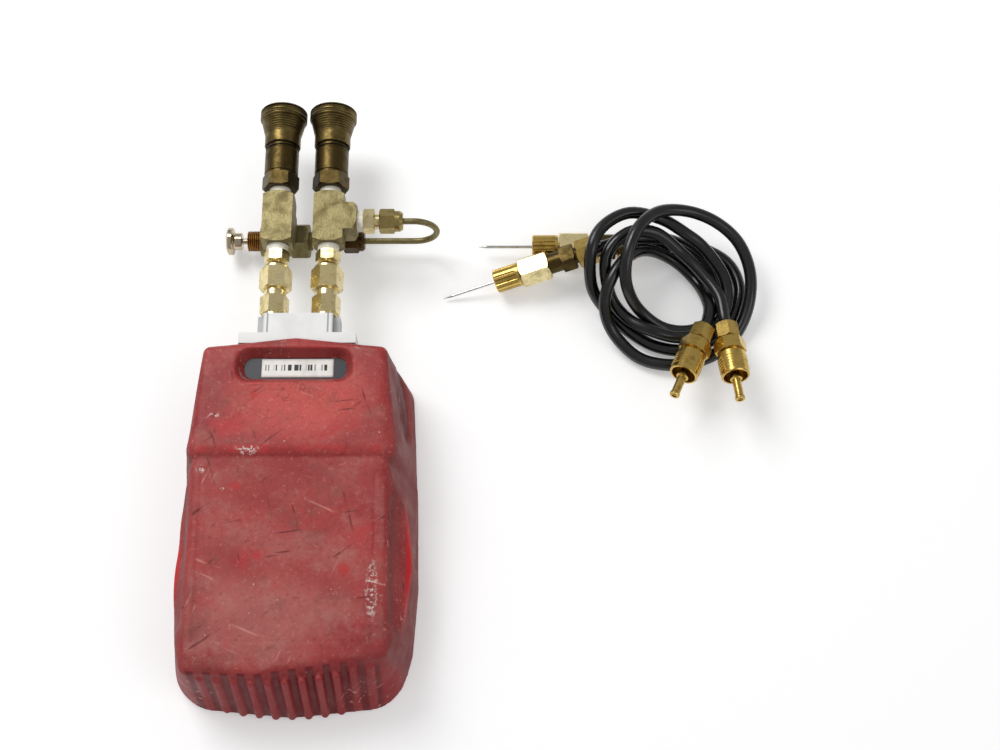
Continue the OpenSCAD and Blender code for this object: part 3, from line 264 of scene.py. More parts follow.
def boot_rubber():
    m = Mat("boot_rubber", Specular_IOR_Level=0.24)
    big = m.noise(22, 5, 0.6, distort=0.5)
    blotch = m.noise(70, 6, 0.68)
    grain = m.noise(520, 4, 0.7)
    fine = m.noise(1500, 3, 0.6)
    col = m.mix(m.span(big, 0.36, 0.66), rgb(150, 50, 52), rgb(172, 72, 70))
    # Pale dust on what faces up, and clean rubber where hands have rubbed
    up = m.span(m.normal_z(), 0.80, 0.98)
    dust = m.times(up, m.span(blotch, 0.42, 0.70))
    col = m.mix(m.times(dust, 0.55), col, rgb(178, 120, 112))
    # Tones of the back: a brighter red round the window, painted shade just below the step, and pale
    # dust towards the near end
    for x, y, rx, ry, amount, tint in BACK_TONES_AND_SHADE:
        col = m.mix(m.times(m.spot(x, y, rx, ry), amount), col, rgb(*tint))
    grime = m.noise(40, 6, 0.72, m.mapped(shift=(3, 1, 2)))
    col = m.mix(m.span(grime, 0.50, 0.74, 0.0, 0.65), col, rgb(128, 76, 68))
    clean = m.noise(34, 4, 0.6, m.mapped(shift=(8, 2, 5)))
    col = m.mix(m.span(clean, 0.56, 0.74, 0.0, 0.8), col, rgb(186, 56, 58))
    col = m.mix(m.span(grain, 0.56, 0.72, 0.0, 0.45), col, rgb(204, 138, 128))
    col = m.mix(m.span(grain, 0.44, 0.30, 0.0, 0.45), col, rgb(108, 34, 34))
    # Painted shade: the sides, which face away from the light above, are painted darker and browner
    # than the back
    col = m.mix(m.span(m.normal_z(), 0.75, 0.25, 0.0, 0.78), col, rgb(116, 38, 36))
    # Rubbed edges are a clean bright red, and creases are painted dark as shade
    edge = m.pointiness()
    ax = m.axes()
    rubbed = m.times(m.span(edge, 0.515, 0.56), m.span(ax[1], 0.013, 0.017))
    col = m.mix(m.times(rubbed, 0.85), col, rgb(190, 42, 46))
    col = m.mix(m.span(edge, 0.485, 0.44, 0.0, 0.85), col, rgb(84, 22, 24))
    # The near end with its grip ribs is a cleaner red
    near = m.times(m.span(ax[1], 0.020, 0.014), m.span(m.normal_z(), 0.80, 0.60))
    col = m.mix(m.times(near, 0.6), col, rgb(164, 48, 52))
    # Painted shade in the grooves between the grip ribs
    col = m.mix(m.grooves(), col, rgb(112, 20, 24))
    # The foot of the higher part, the dimples, and the lips under the finger scoops
    ledge = m.band(ax[1], LEDGE_Y, 0.0024)
    ledge = m.times(ledge, m.span(m.math("ABSOLUTE", ax[0]), 0.046, 0.042))
    ledge = m.times(ledge, m.span(blotch, 0.38, 0.60))
    col = m.mix(m.times(ledge, 0.7), col, rgb(196, 50, 54))
    # Painted shade in the oval dimples on the sides
    oval = m.ellipse(ax[1], ax[2], DIMPLE_Y, DIMPLE_Z, 0.019, 0.0105)
    oval = m.times(m.span(oval, 1.15, 0.85), m.span(m.normal_z(), 0.72, 0.55))
    col = m.mix(m.times(oval, 0.75), col, rgb(96, 26, 28))
    lip = m.times(m.band(ax[2], LIP_Z, 0.0022), m.band(ax[1], LIP_Y, 0.040))
    lip = m.times(lip, m.span(m.math("ABSOLUTE", ax[0]), 0.049, 0.052))
    col = m.mix(m.times(lip, 0.85), col, rgb(206, 30, 36))
    # Clean spots, scratches, crackle by the window, scuffs and specks
    for x, y, r in CLEAN_SPOTS:
        col = m.mix(m.times(m.spot(x, y, r, r), 0.55), col, rgb(192, 44, 46))
    for i, turn in enumerate(SCRATCH_TURNS):
        lines = m.noise(420, 2, 0.5, m.mapped((1, 12, 1), (0, 0, turn), (i, 2 * i, 0),
                                              "TEXTURE"))
        patch = m.noise(38, 2, 0.5, m.mapped(shift=(i * 5, 7, 1)))
        mark = m.times(m.span(lines, 0.66, 0.73), m.span(patch, 0.50, 0.62))
        col = m.mix(m.times(mark, 0.75), col,
                    rgb(206, 140, 130) if i % 2 else rgb(88, 28, 28))
    crackle = m.span(m.cells(300, m.warped(90, 0.004), "DISTANCE_TO_EDGE"), 0.05, 0.02)
    worn = m.times(m.spot(0.0, 0.1420, 0.047, 0.026), m.span(blotch, 0.44, 0.60))
    col = m.mix(m.times(m.times(crackle, worn), 0.55), col,
                rgb(104, 34, 34))
    for x, y, rx, ry in SCUFFS:
        scuff = m.times(m.spot(x, y, rx, ry), m.span(grain, 0.50, 0.58))
        col = m.mix(m.times(scuff, 0.85), col, rgb(228, 214, 206))
    specks = m.span(m.cells(190), 0.07, 0.04)
    keep = m.span(m.noise(60, 2, 0.5, m.mapped(shift=(9, 4, 1))), 0.58, 0.66)
    col = m.mix(m.times(specks, keep), col, rgb(226, 208, 198))
    rough = m.span(blotch, 0.3, 0.75, 0.42, 0.66)
    height = m.math("ADD", m.times(fine, 0.3), grain)
    return m.set(Base_Color=col, Roughness=rough, Normal=m.bump(height, 0.45, 0.0003))


def brass(name, base, dark, rough, grain, stain):
    m = Mat(name, Metallic=1.0)
    cloud = m.noise(210, 5, 0.65, distort=0.4)
    spots = m.noise(900, 4, 0.7)
    col = m.mix(m.span(cloud, 0.42, 0.72, 0.0, stain), base, dark)
    col = m.mix(m.span(spots, 0.58, 0.72, 0.0, stain * 0.7), col, dark)
    r = m.span(cloud, 0.3, 0.75, rough, rough + 0.22)
    lines = m.noise(1500, 2, 0.5, m.mapped((1, 0.12, 1)))
    return m.set(Base_Color=col, Roughness=r, Normal=m.bump(lines, grain, 0.00006))


def blasted_brass(name, base, dark, rough):
    """Bar brass with a fine grainy skin."""
    m = Mat(name, Metallic=1.0)
    cloud = m.noise(150, 5, 0.65, distort=0.4)
    grain = m.noise(1100, 3, 0.6)
    dimples = m.span(m.cells(900), 0.16, 0.34)
    col = m.mix(m.span(cloud, 0.42, 0.70, 0.0, 0.8), base, dark)
    col = m.mix(m.span(grain, 0.50, 0.70, 0.0, 0.6), col, dark)
    height = m.math("ADD", m.times(dimples, 0.6), grain)
    return m.set(Base_Color=col, Roughness=m.span(cloud, 0.3, 0.75, rough, rough + 0.15),
                 Normal=m.bump(height, 0.6, 0.00012))


def ringed_brass(name, base, dark, rough):
    """Dark brass with fine turned rings round its flared part."""
    m = Mat(name, Metallic=1.0)
    ax = m.axes()
    cloud = m.noise(230, 5, 0.65)
    rings = m.ridges(RING_PITCH, "Y")
    flare = m.span(ax[1], SLEEVE_FLARE_Y, SLEEVE_FLARE_Y + 0.002)
    groove = m.times(m.span(rings, 0.5, 0.15), flare)
    col = m.mix(m.span(cloud, 0.42, 0.72, 0.0, 0.7), base, dark)
    col = m.mix(m.times(groove, 0.7), col, rgb(34, 26, 12))
    height = m.times(rings, flare)
    return m.set(Base_Color=col, Roughness=m.span(cloud, 0.3, 0.75, rough, rough + 0.15),
                 Normal=m.bump(height, 0.8, 0.0004))


def bypass_brass(name):
    """Olive brass on the upper nut, and tarnished brown brass on the lower one."""
    m = Mat(name, Metallic=1.0)
    cloud = m.noise(220, 5, 0.65, distort=0.4)
    upper = m.span(m.axes()[2], 0.020, 0.024)
    base = m.mix(upper, rgb(82, 62, 36), rgb(164, 146, 92))
    dark = m.mix(upper, rgb(42, 30, 16), rgb(104, 86, 44))
    col = m.mix(m.span(cloud, 0.42, 0.72, 0.0, 0.7), base, dark)
    return m.set(Base_Color=col, Roughness=m.span(cloud, 0.3, 0.75, 0.24, 0.42),
                 Normal=m.bump(cloud, 0.3, 0.0001))


def threaded(name, base, dark, rough, axis, pitch):
    m = Mat(name, Metallic=1.0)
    ridge = m.ridges(pitch, axis)
    cloud = m.noise(260, 5, 0.65)
    col = m.mix(m.span(ridge, 0.15, 0.75), dark, base)
    col = m.mix(m.span(cloud, 0.45, 0.75, 0.0, 0.5), col, dark)
    return m.set(Base_Color=col, Roughness=m.span(cloud, 0.3, 0.7, rough, rough + 0.2),
                 Normal=m.bump(ridge, 0.9, pitch * 0.4))


def plastic(name, base, tint, rough):
    m = Mat(name, Specular_IOR_Level=0.5)
    cloud = m.noise(48, 4, 0.6)
    fine = m.noise(2160, 3, 0.6)
    col = m.mix(m.span(cloud, 0.35, 0.75), base, tint)
    r = m.span(cloud, 0.3, 0.75, rough, rough + 0.12)
    return m.set(Base_Color=col, Roughness=r, Normal=m.bump(fine, 0.15, 0.00008))


def steel(name, base, rough):
    m = Mat(name, Metallic=1.0)
    cloud = m.noise(180, 4, 0.6)
    col = m.mix(m.span(cloud, 0.4, 0.75, 0.0, 0.5), base, tuple(v * 0.6 for v in base[:3]) + (1.0,))
    lines = m.noise(1800, 2, 0.5, m.mapped((1, 0.1, 1)))
    return m.set(Base_Color=col, Roughness=m.span(cloud, 0.3, 0.7, rough, rough + 0.12),
                 Normal=m.bump(lines, 0.15, 0.00004))


def vinyl():
    m = Mat("hose_vinyl", Specular_IOR_Level=0.5, Coat_Weight=0.15, Coat_Roughness=0.12)
    cloud = m.noise(90, 4, 0.6)
    fine = m.noise(700, 3, 0.6)
    col = m.mix(m.span(cloud, 0.35, 0.75), rgb(5, 5, 6), rgb(13, 13, 15))
    return m.set(Base_Color=col, Roughness=m.span(cloud, 0.3, 0.7, 0.2, 0.36),
                 Normal=m.bump(fine, 0.2, 0.00008))


def port_plastic():
    """White moulded block whose two ends are shaded like round columns."""
    m = Mat("port_plastic", Specular_IOR_Level=0.45)
    x = m.axes()[0]
    cloud = m.noise(60, 4, 0.6)
    fine = m.noise(2200, 3, 0.6)
    col = m.mix(m.span(cloud, 0.35, 0.75), rgb(242, 242, 240), rgb(230, 230, 228))
    for middle, half in PORT_COLUMNS:
        shade = m.times(m.band(x, middle, half), m.span(m.axes()[1], 0.1795, 0.1802))
        col = m.mix(m.times(shade, 0.8), col, rgb(176, 178, 180))
    for edge in PORT_EDGES:
        line = m.times(m.band(x, edge, 0.0006), m.span(m.axes()[1], 0.1795, 0.1802))
        col = m.mix(m.times(line, 0.7), col, rgb(110, 112, 114))
    return m.set(Base_Color=col, Roughness=m.span(cloud, 0.3, 0.7, 0.36, 0.48),
                 Normal=m.bump(fine, 0.12, 0.00008))


def tape():
    m = Mat("thread_tape", Specular_IOR_Level=0.4)
    wrap = m.noise(700, 4, 0.65, m.mapped((0.3, 1, 0.3)))
    col = m.mix(m.span(wrap, 0.35, 0.75), rgb(244, 240, 228), rgb(214, 206, 184))
    return m.set(Base_Color=col, Roughness=m.span(wrap, 0.3, 0.7, 0.45, 0.7),
                 Normal=m.bump(wrap, 0.8, 0.0003))


def glass():
    m = Mat("display_lens", IOR=1.47, Roughness=0.08)
    fine = m.noise(60, 3, 0.5)
    col = m.mix(m.span(fine, 0.3, 0.7), rgb(178, 186, 182), rgb(196, 204, 200))
    return m.set(Base_Color=col, Transmission_Weight=0.55)


def label_paper():
    m = Mat("label_paper", Specular_IOR_Level=0.4)
    ax = m.axes()
    bars = m.noise(1.0, 0.0, 0.5, m.mapped((760, 0, 0), shift=(0.37, 4.1, 2.2)))
    dark = m.span(bars, 0.500, 0.512)
    side = m.span(m.math("ABSOLUTE", m.math("SUBTRACT", ax[0], 0.0008)), 0.0158, 0.0154)
    low = m.span(m.math("ABSOLUTE", m.math("SUBTRACT", ax[1], 0.1610)), 0.00165, 0.0015)
    bar_mask = m.times(m.times(dark, side), low)
    cloud = m.noise(160, 4, 0.6)
    col = m.mix(m.span(cloud, 0.4, 0.75), rgb(246, 245, 240), rgb(228, 226, 218))
    col = m.mix(bar_mask, col, rgb(28, 28, 30))
    return m.set(Base_Color=col, Roughness=m.span(cloud, 0.3, 0.7, 0.35, 0.5),
                 Normal=m.bump(cloud, 0.1, 0.0001))


MATS = {
    "boot_rubber": boot_rubber(),
    "case_plastic": plastic("case_plastic", rgb(26, 30, 38), rgb(40, 46, 56), 0.32),
    "front_plastic": plastic("front_plastic", rgb(52, 54, 58), rgb(66, 68, 72), 0.42),
    "key_rubber": plastic("key_rubber", rgb(120, 122, 124), rgb(142, 144, 146), 0.55),
    "lens_plastic": glass(),
    "display": plastic("display", rgb(92, 104, 84), rgb(112, 122, 100), 0.3),
    "board": plastic("board", rgb(28, 84, 48), rgb(38, 104, 58), 0.4),
    "cell": plastic("cell", rgb(176, 132, 60), rgb(150, 108, 48), 0.35),
    "sensor": plastic("sensor", rgb(224, 224, 220), rgb(208, 208, 204), 0.4),
    "silicone": plastic("silicone", rgb(230, 230, 226), rgb(214, 214, 208), 0.35),
    "port_plastic": port_plastic(),
    "brass_bright": brass("brass_bright", rgb(232, 216, 164), rgb(158, 134, 80), 0.18, 0.25, 0.6),
    "brass_bar": blasted_brass("brass_bar", rgb(140, 130, 92), rgb(106, 94, 62), 0.42),
    "brass_dark": brass("brass_dark", rgb(82, 68, 38), rgb(44, 35, 18), 0.30, 0.3, 0.7),
    "sleeve_brass": ringed_brass("sleeve_brass", rgb(114, 97, 57), rgb(54, 43, 22), 0.34),
    "brass_gold": brass("brass_gold", rgb(206, 174, 96), rgb(122, 95, 42), 0.18, 0.25, 0.65),
    "bypass_brass": bypass_brass("bypass_brass"),
    "copper_bonnet": threaded("copper_bonnet", rgb(176, 122, 60), rgb(74, 44, 18), 0.25, "X", 0.0010),
    "steel": steel("steel", rgb(214, 214, 212), 0.12),
    "nickel": steel("nickel", rgb(196, 182, 158), 0.07),
    "spring_steel": steel("spring_steel", rgb(58, 54, 46), 0.35),
    "tape": tape(),
    "hose_vinyl": vinyl(),
}

FINISH = {
    "boot_rubber": ["rubber_boot"],
    "case_plastic": ["case_back"],
    "front_plastic": ["case_front", "battery_door"],
    "key_rubber": ["key_1", "key_2", "key_3", "key_4", "key_5", "key_6"],
    "lens_plastic": ["display_lens"],
    "display": ["display_module"],
    "board": ["circuit_board"],
    "cell": ["battery_cells"],
    "sensor": ["pressure_sensor"],
    "silicone": ["sensor_tubes"],
    "port_plastic": ["port_block"],
    "brass_bright": ["left_connector", "left_nut", "left_adapter", "right_connector", "right_nut",
                     "right_adapter", "bypass_connectors", "ferrules", "probe_body_a",
                     "probe_body_b"],
    "brass_bar": ["left_tee", "right_tee", "valve_body", "bypass_tube"],
    "brass_dark": ["left_socket", "right_socket", "probe_adapter_a", "probe_adapter_b"],
    "sleeve_brass": ["left_sleeve", "right_sleeve"],
    "brass_gold": ["probe_gland_a", "probe_gland_b", "plug_body_a", "plug_body_b", "plug_pins",
                   "hose_nuts", "socket_poppets"],
    "bypass_brass": ["bypass_nuts"],
    "copper_bonnet": ["valve_bonnet"],
    "steel": ["knob_set_screw", "probe_needles", "case_screws", "lock_balls"],
    "nickel": ["valve_stem", "valve_knob"],
    "spring_steel": ["left_sleeve_spring", "right_sleeve_spring"],
    "tape": ["thread_tape", "valve_packing"],
    "hose_vinyl": ["hose_a", "hose_b"],
}

for finish, names in FINISH.items():
    for name in names:
        ob = nodes[name]
        ob.data.materials.clear()
        ob.data.materials.append(MATS[finish])

# All other pieces get finely rounded edges
UNBEVELLED = {"sensor_tubes", "left_sleeve_spring", "right_sleeve_spring", "lock_balls",
              "rubber_boot", "hose_a", "hose_b", "case_back", "case_front", "battery_door",
              "battery_cells", "circuit_board", "probe_needles", "bypass_tube"}
for name, ob in nodes.items():
    if name in UNBEVELLED:
        continue
    bevel = ob.modifiers.new("edges", "BEVEL")
    bevel.width = 0.35 * MM if name == "port_block" else 0.18 * MM
    bevel.segments = 2
    bevel.limit_method = "ANGLE"
    bevel.angle_limit = math.radians(38)
    bevel.harden_normals = True


# ---------------------------------------------------------------- mesh helpers

def new_object(name, mesh, material, body):
    ob = bpy.data.objects.new(name, mesh)
    scene.collection.objects.link(ob)
    mesh.materials.clear()
    mesh.materials.append(material)
    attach(ob, body)
    return ob


def mesh_of(name, verts, faces, smooth=True):
    me = bpy.data.meshes.new(name)
    me.from_pydata([tuple(v) for v in verts], [], faces)
    me.validate()
    for p in me.polygons:
        p.use_smooth = smooth
    return me


# ---------------------------------------------------------------- hoses

# Ends of the hoses: place in mm, turn and tilt in degrees. All places here count from the
# middle of the boot, as the source's do, and at_rim() moves them.
PLUG_A = ((192, 78.5, 24.5), 66, -12)
PLUG_B = ((218, 77, 25.5), 95, -12)
PROBE_A = ((98, 137, 8.2), 14, 13)
PROBE_B = ((117.4, 157.5, 7.4), 0, 0)

HOSE_A = [
    (208, 121, 14), (204, 136, 7), (193, 148, 8), (179, 151, 16), (167, 144, 25), (158, 132, 26),
    (154, 120, 19), (158, 109, 9), (170, 97, 4), (184, 92, 4), (200, 93, 4), (215, 100, 4),
    (225, 112, 6), (230, 126, 11), (230, 141, 15), (224, 155, 19), (212, 164, 24), (197, 168, 28),
    (182, 165, 33), (171, 154, 37), (165, 139, 35), (165, 127, 26), (172, 119, 13), (185, 112, 5),
    (200, 111, 4), (212, 119, 4), (216, 133, 4), (210, 148, 6), (196, 157, 11), (182, 158, 17),
    (167, 155, 22)]
HOSE_B = [
    (213, 125, 17), (205, 138, 16), (195, 149, 17), (181, 157, 25), (166, 155, 29), (155, 143, 26),
    (157, 127, 15), (165, 116, 11), (177, 108, 12), (193, 105, 9), (208, 109, 10), (217, 120, 11),
    (217, 136, 14), (207, 151, 18), (197, 158, 22), (184, 165, 25), (167, 166, 30), (153, 157, 32),
    (147, 144, 30), (148, 130, 16), (157, 120, 6), (168, 110, 4), (181, 102, 4), (197, 100, 4),
    (212, 107, 4), (221, 118, 4), (226, 134, 4), (220, 150, 4), (202, 160, 4), (187, 158, 6)]
# Distances in mm behind a plug and a probe at which the hose still runs straight
PLUG_S = (25.25, 31.0, 37.0)
PROBE_S = (61.0, 55.0, 48.05)
HOSE_R = 3.175


def at_rim(point):
    return Vector(point) + Vector((0, RIM_Y, 0))


def along(end, s):
    """Point at a distance behind the end of a hose, on its axis."""
    at, turn, tilt = end
    a, t = math.radians(turn), math.radians(tilt)
    return at_rim(at) + s * Vector((math.cos(t) * math.cos(a), math.cos(t) * math.sin(a),
                                    math.sin(t)))


def smooth_line(p, k):
    """Smooth line through the points, with k steps from each to the next."""
    out = []
    for i in range(len(p) - 1):
        b, c = p[i], p[i + 1]
        a = p[i - 1] if i else 2 * p[0] - p[1]
        d = p[i + 2] if i + 2 < len(p) else 2 * c - b
        for j in range(k):
            t = j / k
            out.append(0.5 * (2 * b + (c - a) * t + (2 * a - 5 * b + 4 * c - d) * t * t
                              + (3 * b - a - 3 * c + d) * t ** 3))
    return out + [p[-1]]


def hose(name, node, plug, probe, middle):
    points = ([along(plug, s) for s in PLUG_S] + [at_rim(q) for q in middle]
              + [along(probe, s) for s in PROBE_S])
    line = [q * MM for q in smooth_line(points, 6)]
    cu = bpy.data.curves.new(name, "CURVE")
    cu.dimensions = "3D"
    cu.bevel_depth = HOSE_R * MM
    cu.bevel_resolution = 5
    cu.use_fill_caps = True
    sp = cu.splines.new("POLY")
    sp.points.add(len(line) - 1)
    for q, pt in zip(line, sp.points):
        pt.co = (*q, 1.0)
    sp.use_smooth = True
    ob = bpy.data.objects.new(name, cu)
    scene.collection.objects.link(ob)
    cu.materials.append(MATS["hose_vinyl"])
    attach(ob, "meter")
    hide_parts(node)
    return ob


hose("hose_a_vinyl", "hose_a", PLUG_A, PROBE_A, HOSE_A)
hose("hose_b_vinyl", "hose_b", PLUG_B, PROBE_B, HOSE_B)


# ---------------------------------------------------------------- rubber boot

PLATE_Y = (0.0155, 0.1085)         # where the flat part of the back starts and ends
PLATE_Z = (0.0450, 0.0475)
WINDOW = Vector((0.0, 0.16055))
WINDOW_FLOOR_Z = 0.0404
VOXEL = 0.75
DIMPLE_DEPTH = 0.0016
DIMPLE_RY = 0.021
DIMPLE_RZ = 0.0125
BOW = 2.4             # mm that the boot's far edge stands out in the middle
SIDE_SMOOTHING = 24   # passes that round the sides and the scoops
# How much further out the worn boot stands than its plain solid, in mm at places along Y in mm
LEFT_SIDE = [(0, 0.6), (19, 1.4), (45, -0.4), (70, -2.2), (90, -0.5), (110, 0.6), (130, -1.4),
             (147, -1.4), (175, -0.8)]
RIGHT_SIDE = [(0, -1.0), (12, 0.2), (28, 2.2), (61, 1.6), (98, 2.2), (147, 2.2), (165, 2.0),
              (178, 0.0)]


def eased(table, at):
    """Value at a place, eased between the pairs of a table."""
    if at <= table[0][0]:
        return table[0][1]
    for (a, va), (b, vb) in zip(table, table[1:]):
        if at <= b:
            t = (at - a) / (b - a)
            return va + (vb - va) * t * t * (3 - 2 * t)
    return table[-1][1]


def step(value, low, high):
    """0 at low or less, 1 at high or more, and eased between them."""
    t = min(max((value - low) / (high - low), 0.0), 1.0)
    return t * t * (3 - 2 * t)


def rounded_loop(width, height, radius, z):
    """Corner points of a rounded rectangle round the window's middle, in mm."""
    loop = []
    for cx, cy, first in ((1, 1, 0), (-1, 1, 90), (-1, -1, 180), (1, -1, 270)):
        for i in range(7):
            a = math.radians(first + i * 15)
            x = cx * (width / 2 - radius) + radius * math.cos(a)
            y = cy * (height / 2 - radius) + radius * math.sin(a)
            loop.append(Vector((WINDOW.x + x * MM, WINDOW.y + y * MM, z)))
    return loop


def loft(name, loops):
    """A closed solid through loops of the same count of points."""
    verts = [v for loop in loops for v in loop]
    n = len(loops[0])
    faces = [tuple(reversed(range(n))), tuple(range(len(verts) - n, len(verts)))]
    for k in range(len(loops) - 1):
        for i in range(n):
            j = (i + 1) % n
            faces.append((k * n + i, k * n + j, (k + 1) * n + j, (k + 1) * n + i))
    ob = bpy.data.objects.new(name, mesh_of(name, verts, faces, False))
    scene.collection.objects.link(ob)
    return ob


def window_block():
    """Rubber round the window, down to the case."""
    return loft("window_block", [rounded_loop(54.5, 15.5, 5.0, WINDOW_FLOOR_Z - 0.0014),
                                 rounded_loop(61.0, 21.5, 7.0, 0.0462)])


def window_cutter():
    """The window's opening, which widens towards the back."""
    return loft("window_cutter", [rounded_loop(49.2, 10.2, 4.2, WINDOW_FLOOR_Z - 0.0020),
                                  rounded_loop(49.6, 10.4, 4.2, WINDOW_FLOOR_Z),
                                  rounded_loop(56.0, 17.0, 6.2, 0.0462),
                                  rounded_loop(58.5, 19.5, 7.2, 0.0480),
                                  rounded_loop(62.0, 23.0, 8.6, 0.0540)])


def baked(ob):
    """The object's mesh with its modifiers applied."""
    bpy.context.view_layer.update()
    dg = bpy.context.evaluated_depsgraph_get()
    out = bpy.data.meshes.new_from_object(ob.evaluated_get(dg))
    ob.modifiers.clear()
    old = ob.data
    ob.data = out
    bpy.data.meshes.remove(old)
    return out


def cut_window(ob):
    """Gives the boot a collar round its window, and opens it again."""
    tools = [("UNION", window_block()), ("DIFFERENCE", window_cutter())]
    for operation, tool in tools:
        mod = ob.modifiers.new("window", "BOOLEAN")
        mod.operation = operation
        mod.solver = "EXACT"
        mod.object = tool
    baked(ob)
    for _, tool in tools:
        bpy.data.objects.remove(tool)


def plate_lift(x, y, z):
    """How far a point in the dish of the flat part of the back lies below its edges."""
    near, far = PLATE_Y
    t = (y - near) / (far - near)
    lift = PLATE_Z[0] + (PLATE_Z[1] - PLATE_Z[0]) * t - z
    if not 0 < lift < 0.0022:
        return 0.0
    return lift * step(y, 0.021, 0.026) * step(0.1125 - y, 0, 0.001) * step(0.042 - abs(x), 0, 0.002)


def dimple(x, y, z):
    """1 in the middle of the oval dimple on each side, falling to 0 at its edge."""
    if abs(x) < 0.040 or z < 0.004:
        return 0.0
    d = ((y - DIMPLE_Y) / DIMPLE_RY) ** 2 + ((z - DIMPLE_Z) / DIMPLE_RZ) ** 2
    return step(1.0 - d, 0.0, 0.45)


def shaped(p):
    """Place of a point of the plain boot on the worn one."""
    x, y, z = p
    z += plate_lift(x, y, z)
    out = eased(LEFT_SIDE if x < 0 else RIGHT_SIDE, y / MM) * MM
    x += out * step(abs(x), 0.046, 0.056) * (1 if x > 0 else -1)
    x -= math.copysign(DIMPLE_DEPTH * dimple(x, y, z), x)
    bow = BOW * MM * (1 - min(abs(x) / 0.047, 1.0) ** 4)
    y += bow * step(y, 0.170, 0.1755) * step(z, 0.034, 0.042)
    return Vector((x, y, z))


def make_boot():
    """The boot's solid as a soft, worn moulding."""
    me = nodes["rubber_boot"].data.copy()
    me.name = "boot_moulding"
    ob = new_object("boot_moulding", me, MATS["boot_rubber"], "meter")
    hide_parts("rubber_boot")
    ob.modifiers.clear()
    cut_window(ob)
    remesh = ob.modifiers.new("remesh", "REMESH")
    remesh.mode = "VOXEL"
    remesh.voxel_size = VOXEL * MM
    remesh.use_smooth_shade = True
    baked(ob)
    side = ob.vertex_groups.new(name="side")
    for v in ob.data.vertices:
        p = v.co
        weight = step(abs(p.x), 0.043, 0.047) * step(p.y, 0.014, 0.022) * step(0.172 - p.y, 0, 0.01)
        weight *= step(0.0415 - p.z, 0, 0.004)
        if p.z > 0.003 and weight > 0:
            side.add([v.index], weight, "REPLACE")
    for group, times in (("side", SIDE_SMOOTHING), ("", 2)):
        smooth = ob.modifiers.new("smooth", "SMOOTH")
        smooth.factor = 0.5
        smooth.iterations = times
        smooth.vertex_group = group
    out = baked(ob)
    ob.vertex_groups.clear()
    low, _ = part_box("rubber_boot")
    normals = [v.normal.copy() for v in out.vertices]
    for v, n in zip(out.vertices, normals):
        p = shaped(v.co)
        relief = 0.10 * noise.noise(p * 55.0) + 0.05 * noise.noise(p * 210.0) - 0.09
        p += n * relief * MM
        p.z = max(p.z, low.z)
        v.co = p
    for face in out.polygons:
        face.use_smooth = True


make_boot()


# ---------------------------------------------------------------- label in the window

LABEL_X = (-16.6, 18.6)
LABEL_Y = (156.0, 165.5)


def label():
    """Thin paper on the case, where the window shows it."""
    bm = bmesh.new()
    bm.from_mesh(nodes["case_back"].data)
    tree = BVHTree.FromBMesh(bm)
    bm.free()
    nx, ny = 30, 8
    (x0, x1), (y0, y1) = LABEL_X, LABEL_Y
    verts, faces = [], []
    for j in range(ny + 1):
        for i in range(nx + 1):
            x = (x0 + (x1 - x0) * i / nx) * MM
            y = (y0 + (y1 - y0) * j / ny) * MM
            hit = tree.ray_cast(Vector((x, y, 0.2)), Vector((0, 0, -1)))[0]
            verts.append(Vector((x, y, (hit.z if hit else 0.04) + 0.12 * MM)))
    for j in range(ny):
        for i in range(nx):
            a = j * (nx + 1) + i
            faces.append((a, a + 1, a + nx + 2, a + nx + 1))
    ob = new_object("case_label", mesh_of("case_label", verts, faces), label_paper(), "meter")
    thick = ob.modifiers.new("thick", "SOLIDIFY")
    thick.thickness = 0.1 * MM
    thick.offset = -1


label()


# ---------------------------------------------------------------- stage and light

FLOOR_PLACE = (0.08, 0.14, -0.0002)
FLOOR_SIZE = 4.0
FLOOR_GREY = 0.86
FLOOR_GLOW = 0.30     # what the camera, glass and metal see on top of the lit floor
WORLD_LIGHT = 0.42    # the world's strength for all but the camera and glass


class Tree:
    """Short calls for a shader tree that starts empty."""

    def __init__(self, owner):
        owner.use_nodes = True
        self.nt = owner.node_tree
        self.nt.nodes.clear()

    def node(self, kind, **inputs):
        n = self.nt.nodes.new("ShaderNode" + kind)
        for key, value in inputs.items():
            self.put(n.inputs[key.replace("_", " ")], value)
        return n

    def put(self, node_input, value):
        if isinstance(value, bpy.types.NodeSocket):
            self.nt.links.new(value, node_input)
        else:
            node_input.default_value = value

    def math(self, op, a, b):
        n = self.node("Math")
        n.operation = op
        self.put(n.inputs[0], a)
        self.put(n.inputs[1], b)
        return n.outputs[0]


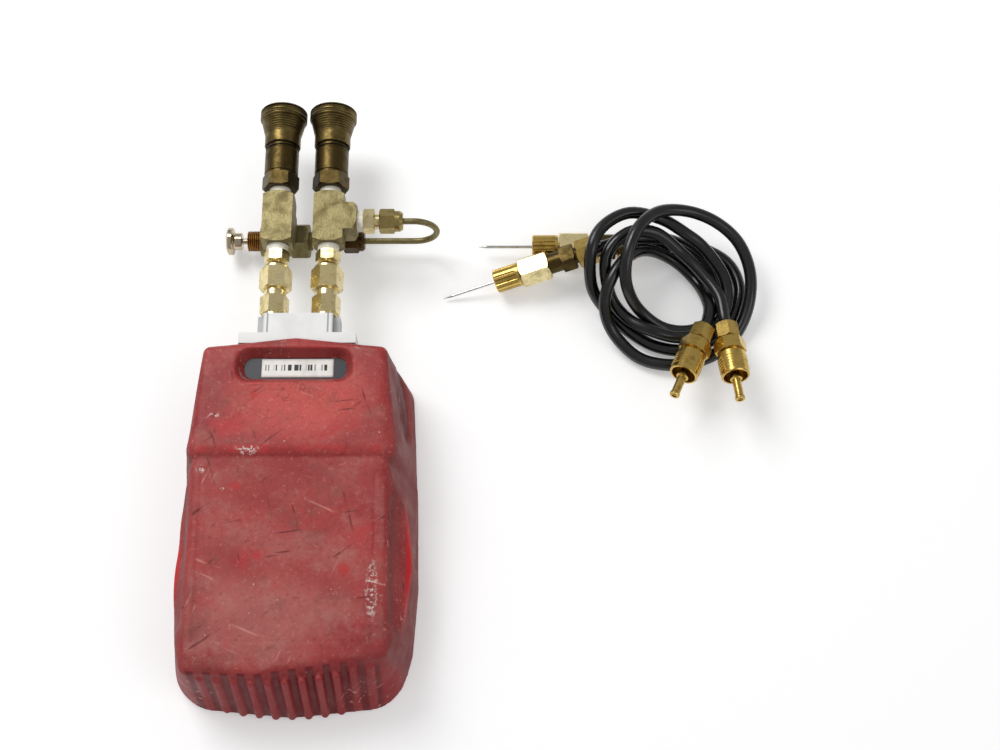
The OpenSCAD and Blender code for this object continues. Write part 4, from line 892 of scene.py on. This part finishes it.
def stage():
    """White floor and world that keep the object's shadow and light it at a plain level."""
    bm = bmesh.new()
    bmesh.ops.create_grid(bm, x_segments=2, y_segments=2, size=FLOOR_SIZE)
    me = bpy.data.meshes.new("floor")
    bm.to_mesh(me)
    bm.free()
    floor = bpy.data.objects.new("floor", me)
    scene.collection.objects.link(floor)
    floor.location = FLOOR_PLACE
    white = bpy.data.materials.new("floor_white")
    t = Tree(white)
    path = t.node("LightPath").outputs
    seen = t.math("MAXIMUM", path["Is Camera Ray"], path["Is Glossy Ray"])
    seen = t.math("MAXIMUM", seen, path["Is Transmission Ray"])
    diffuse = t.node("BsdfDiffuse", Color=(FLOOR_GREY, FLOOR_GREY, FLOOR_GREY, 1.0))
    glow = t.node("Emission", Color=(1.0, 1.0, 1.0, 1.0),
                  Strength=t.math("MULTIPLY", seen, FLOOR_GLOW))
    both = t.node("AddShader")
    t.put(both.inputs[0], diffuse.outputs[0])
    t.put(both.inputs[1], glow.outputs[0])
    t.node("OutputMaterial", Surface=both.outputs[0])
    me.materials.append(white)

    world = bpy.data.worlds.new("studio")
    scene.world = world
    t = Tree(world)
    path = t.node("LightPath").outputs
    seen = t.math("MAXIMUM", path["Is Camera Ray"], path["Is Transmission Ray"])
    level = t.node("MapRange", Value=seen, To_Min=WORLD_LIGHT, To_Max=1.0)
    light = t.node("Background", Color=(1, 1, 1, 1), Strength=level.outputs["Result"])
    t.node("OutputWorld", Surface=light.outputs[0])


def lamp(name, place, target, size, power):
    """A square lamp turned towards a point."""
    data = bpy.data.lights.new(name, "AREA")
    data.shape = "RECTANGLE"
    data.size = size
    data.size_y = size
    data.energy = power
    ob = bpy.data.objects.new(name, data)
    scene.collection.objects.link(ob)
    ob.location = place
    ob.rotation_euler = (Vector(target) - Vector(place)).to_track_quat("-Z", "Y").to_euler()


stage()
lamp("key", (-0.55, 0.83, 1.15), (0.06, 0.13, 0.0), 0.7, 11.0)
lamp("fill", (1.1, -0.42, 1.2), (0.08, 0.13, 0.0), 0.9, 3.5)

scene.view_settings.view_transform = "Standard"
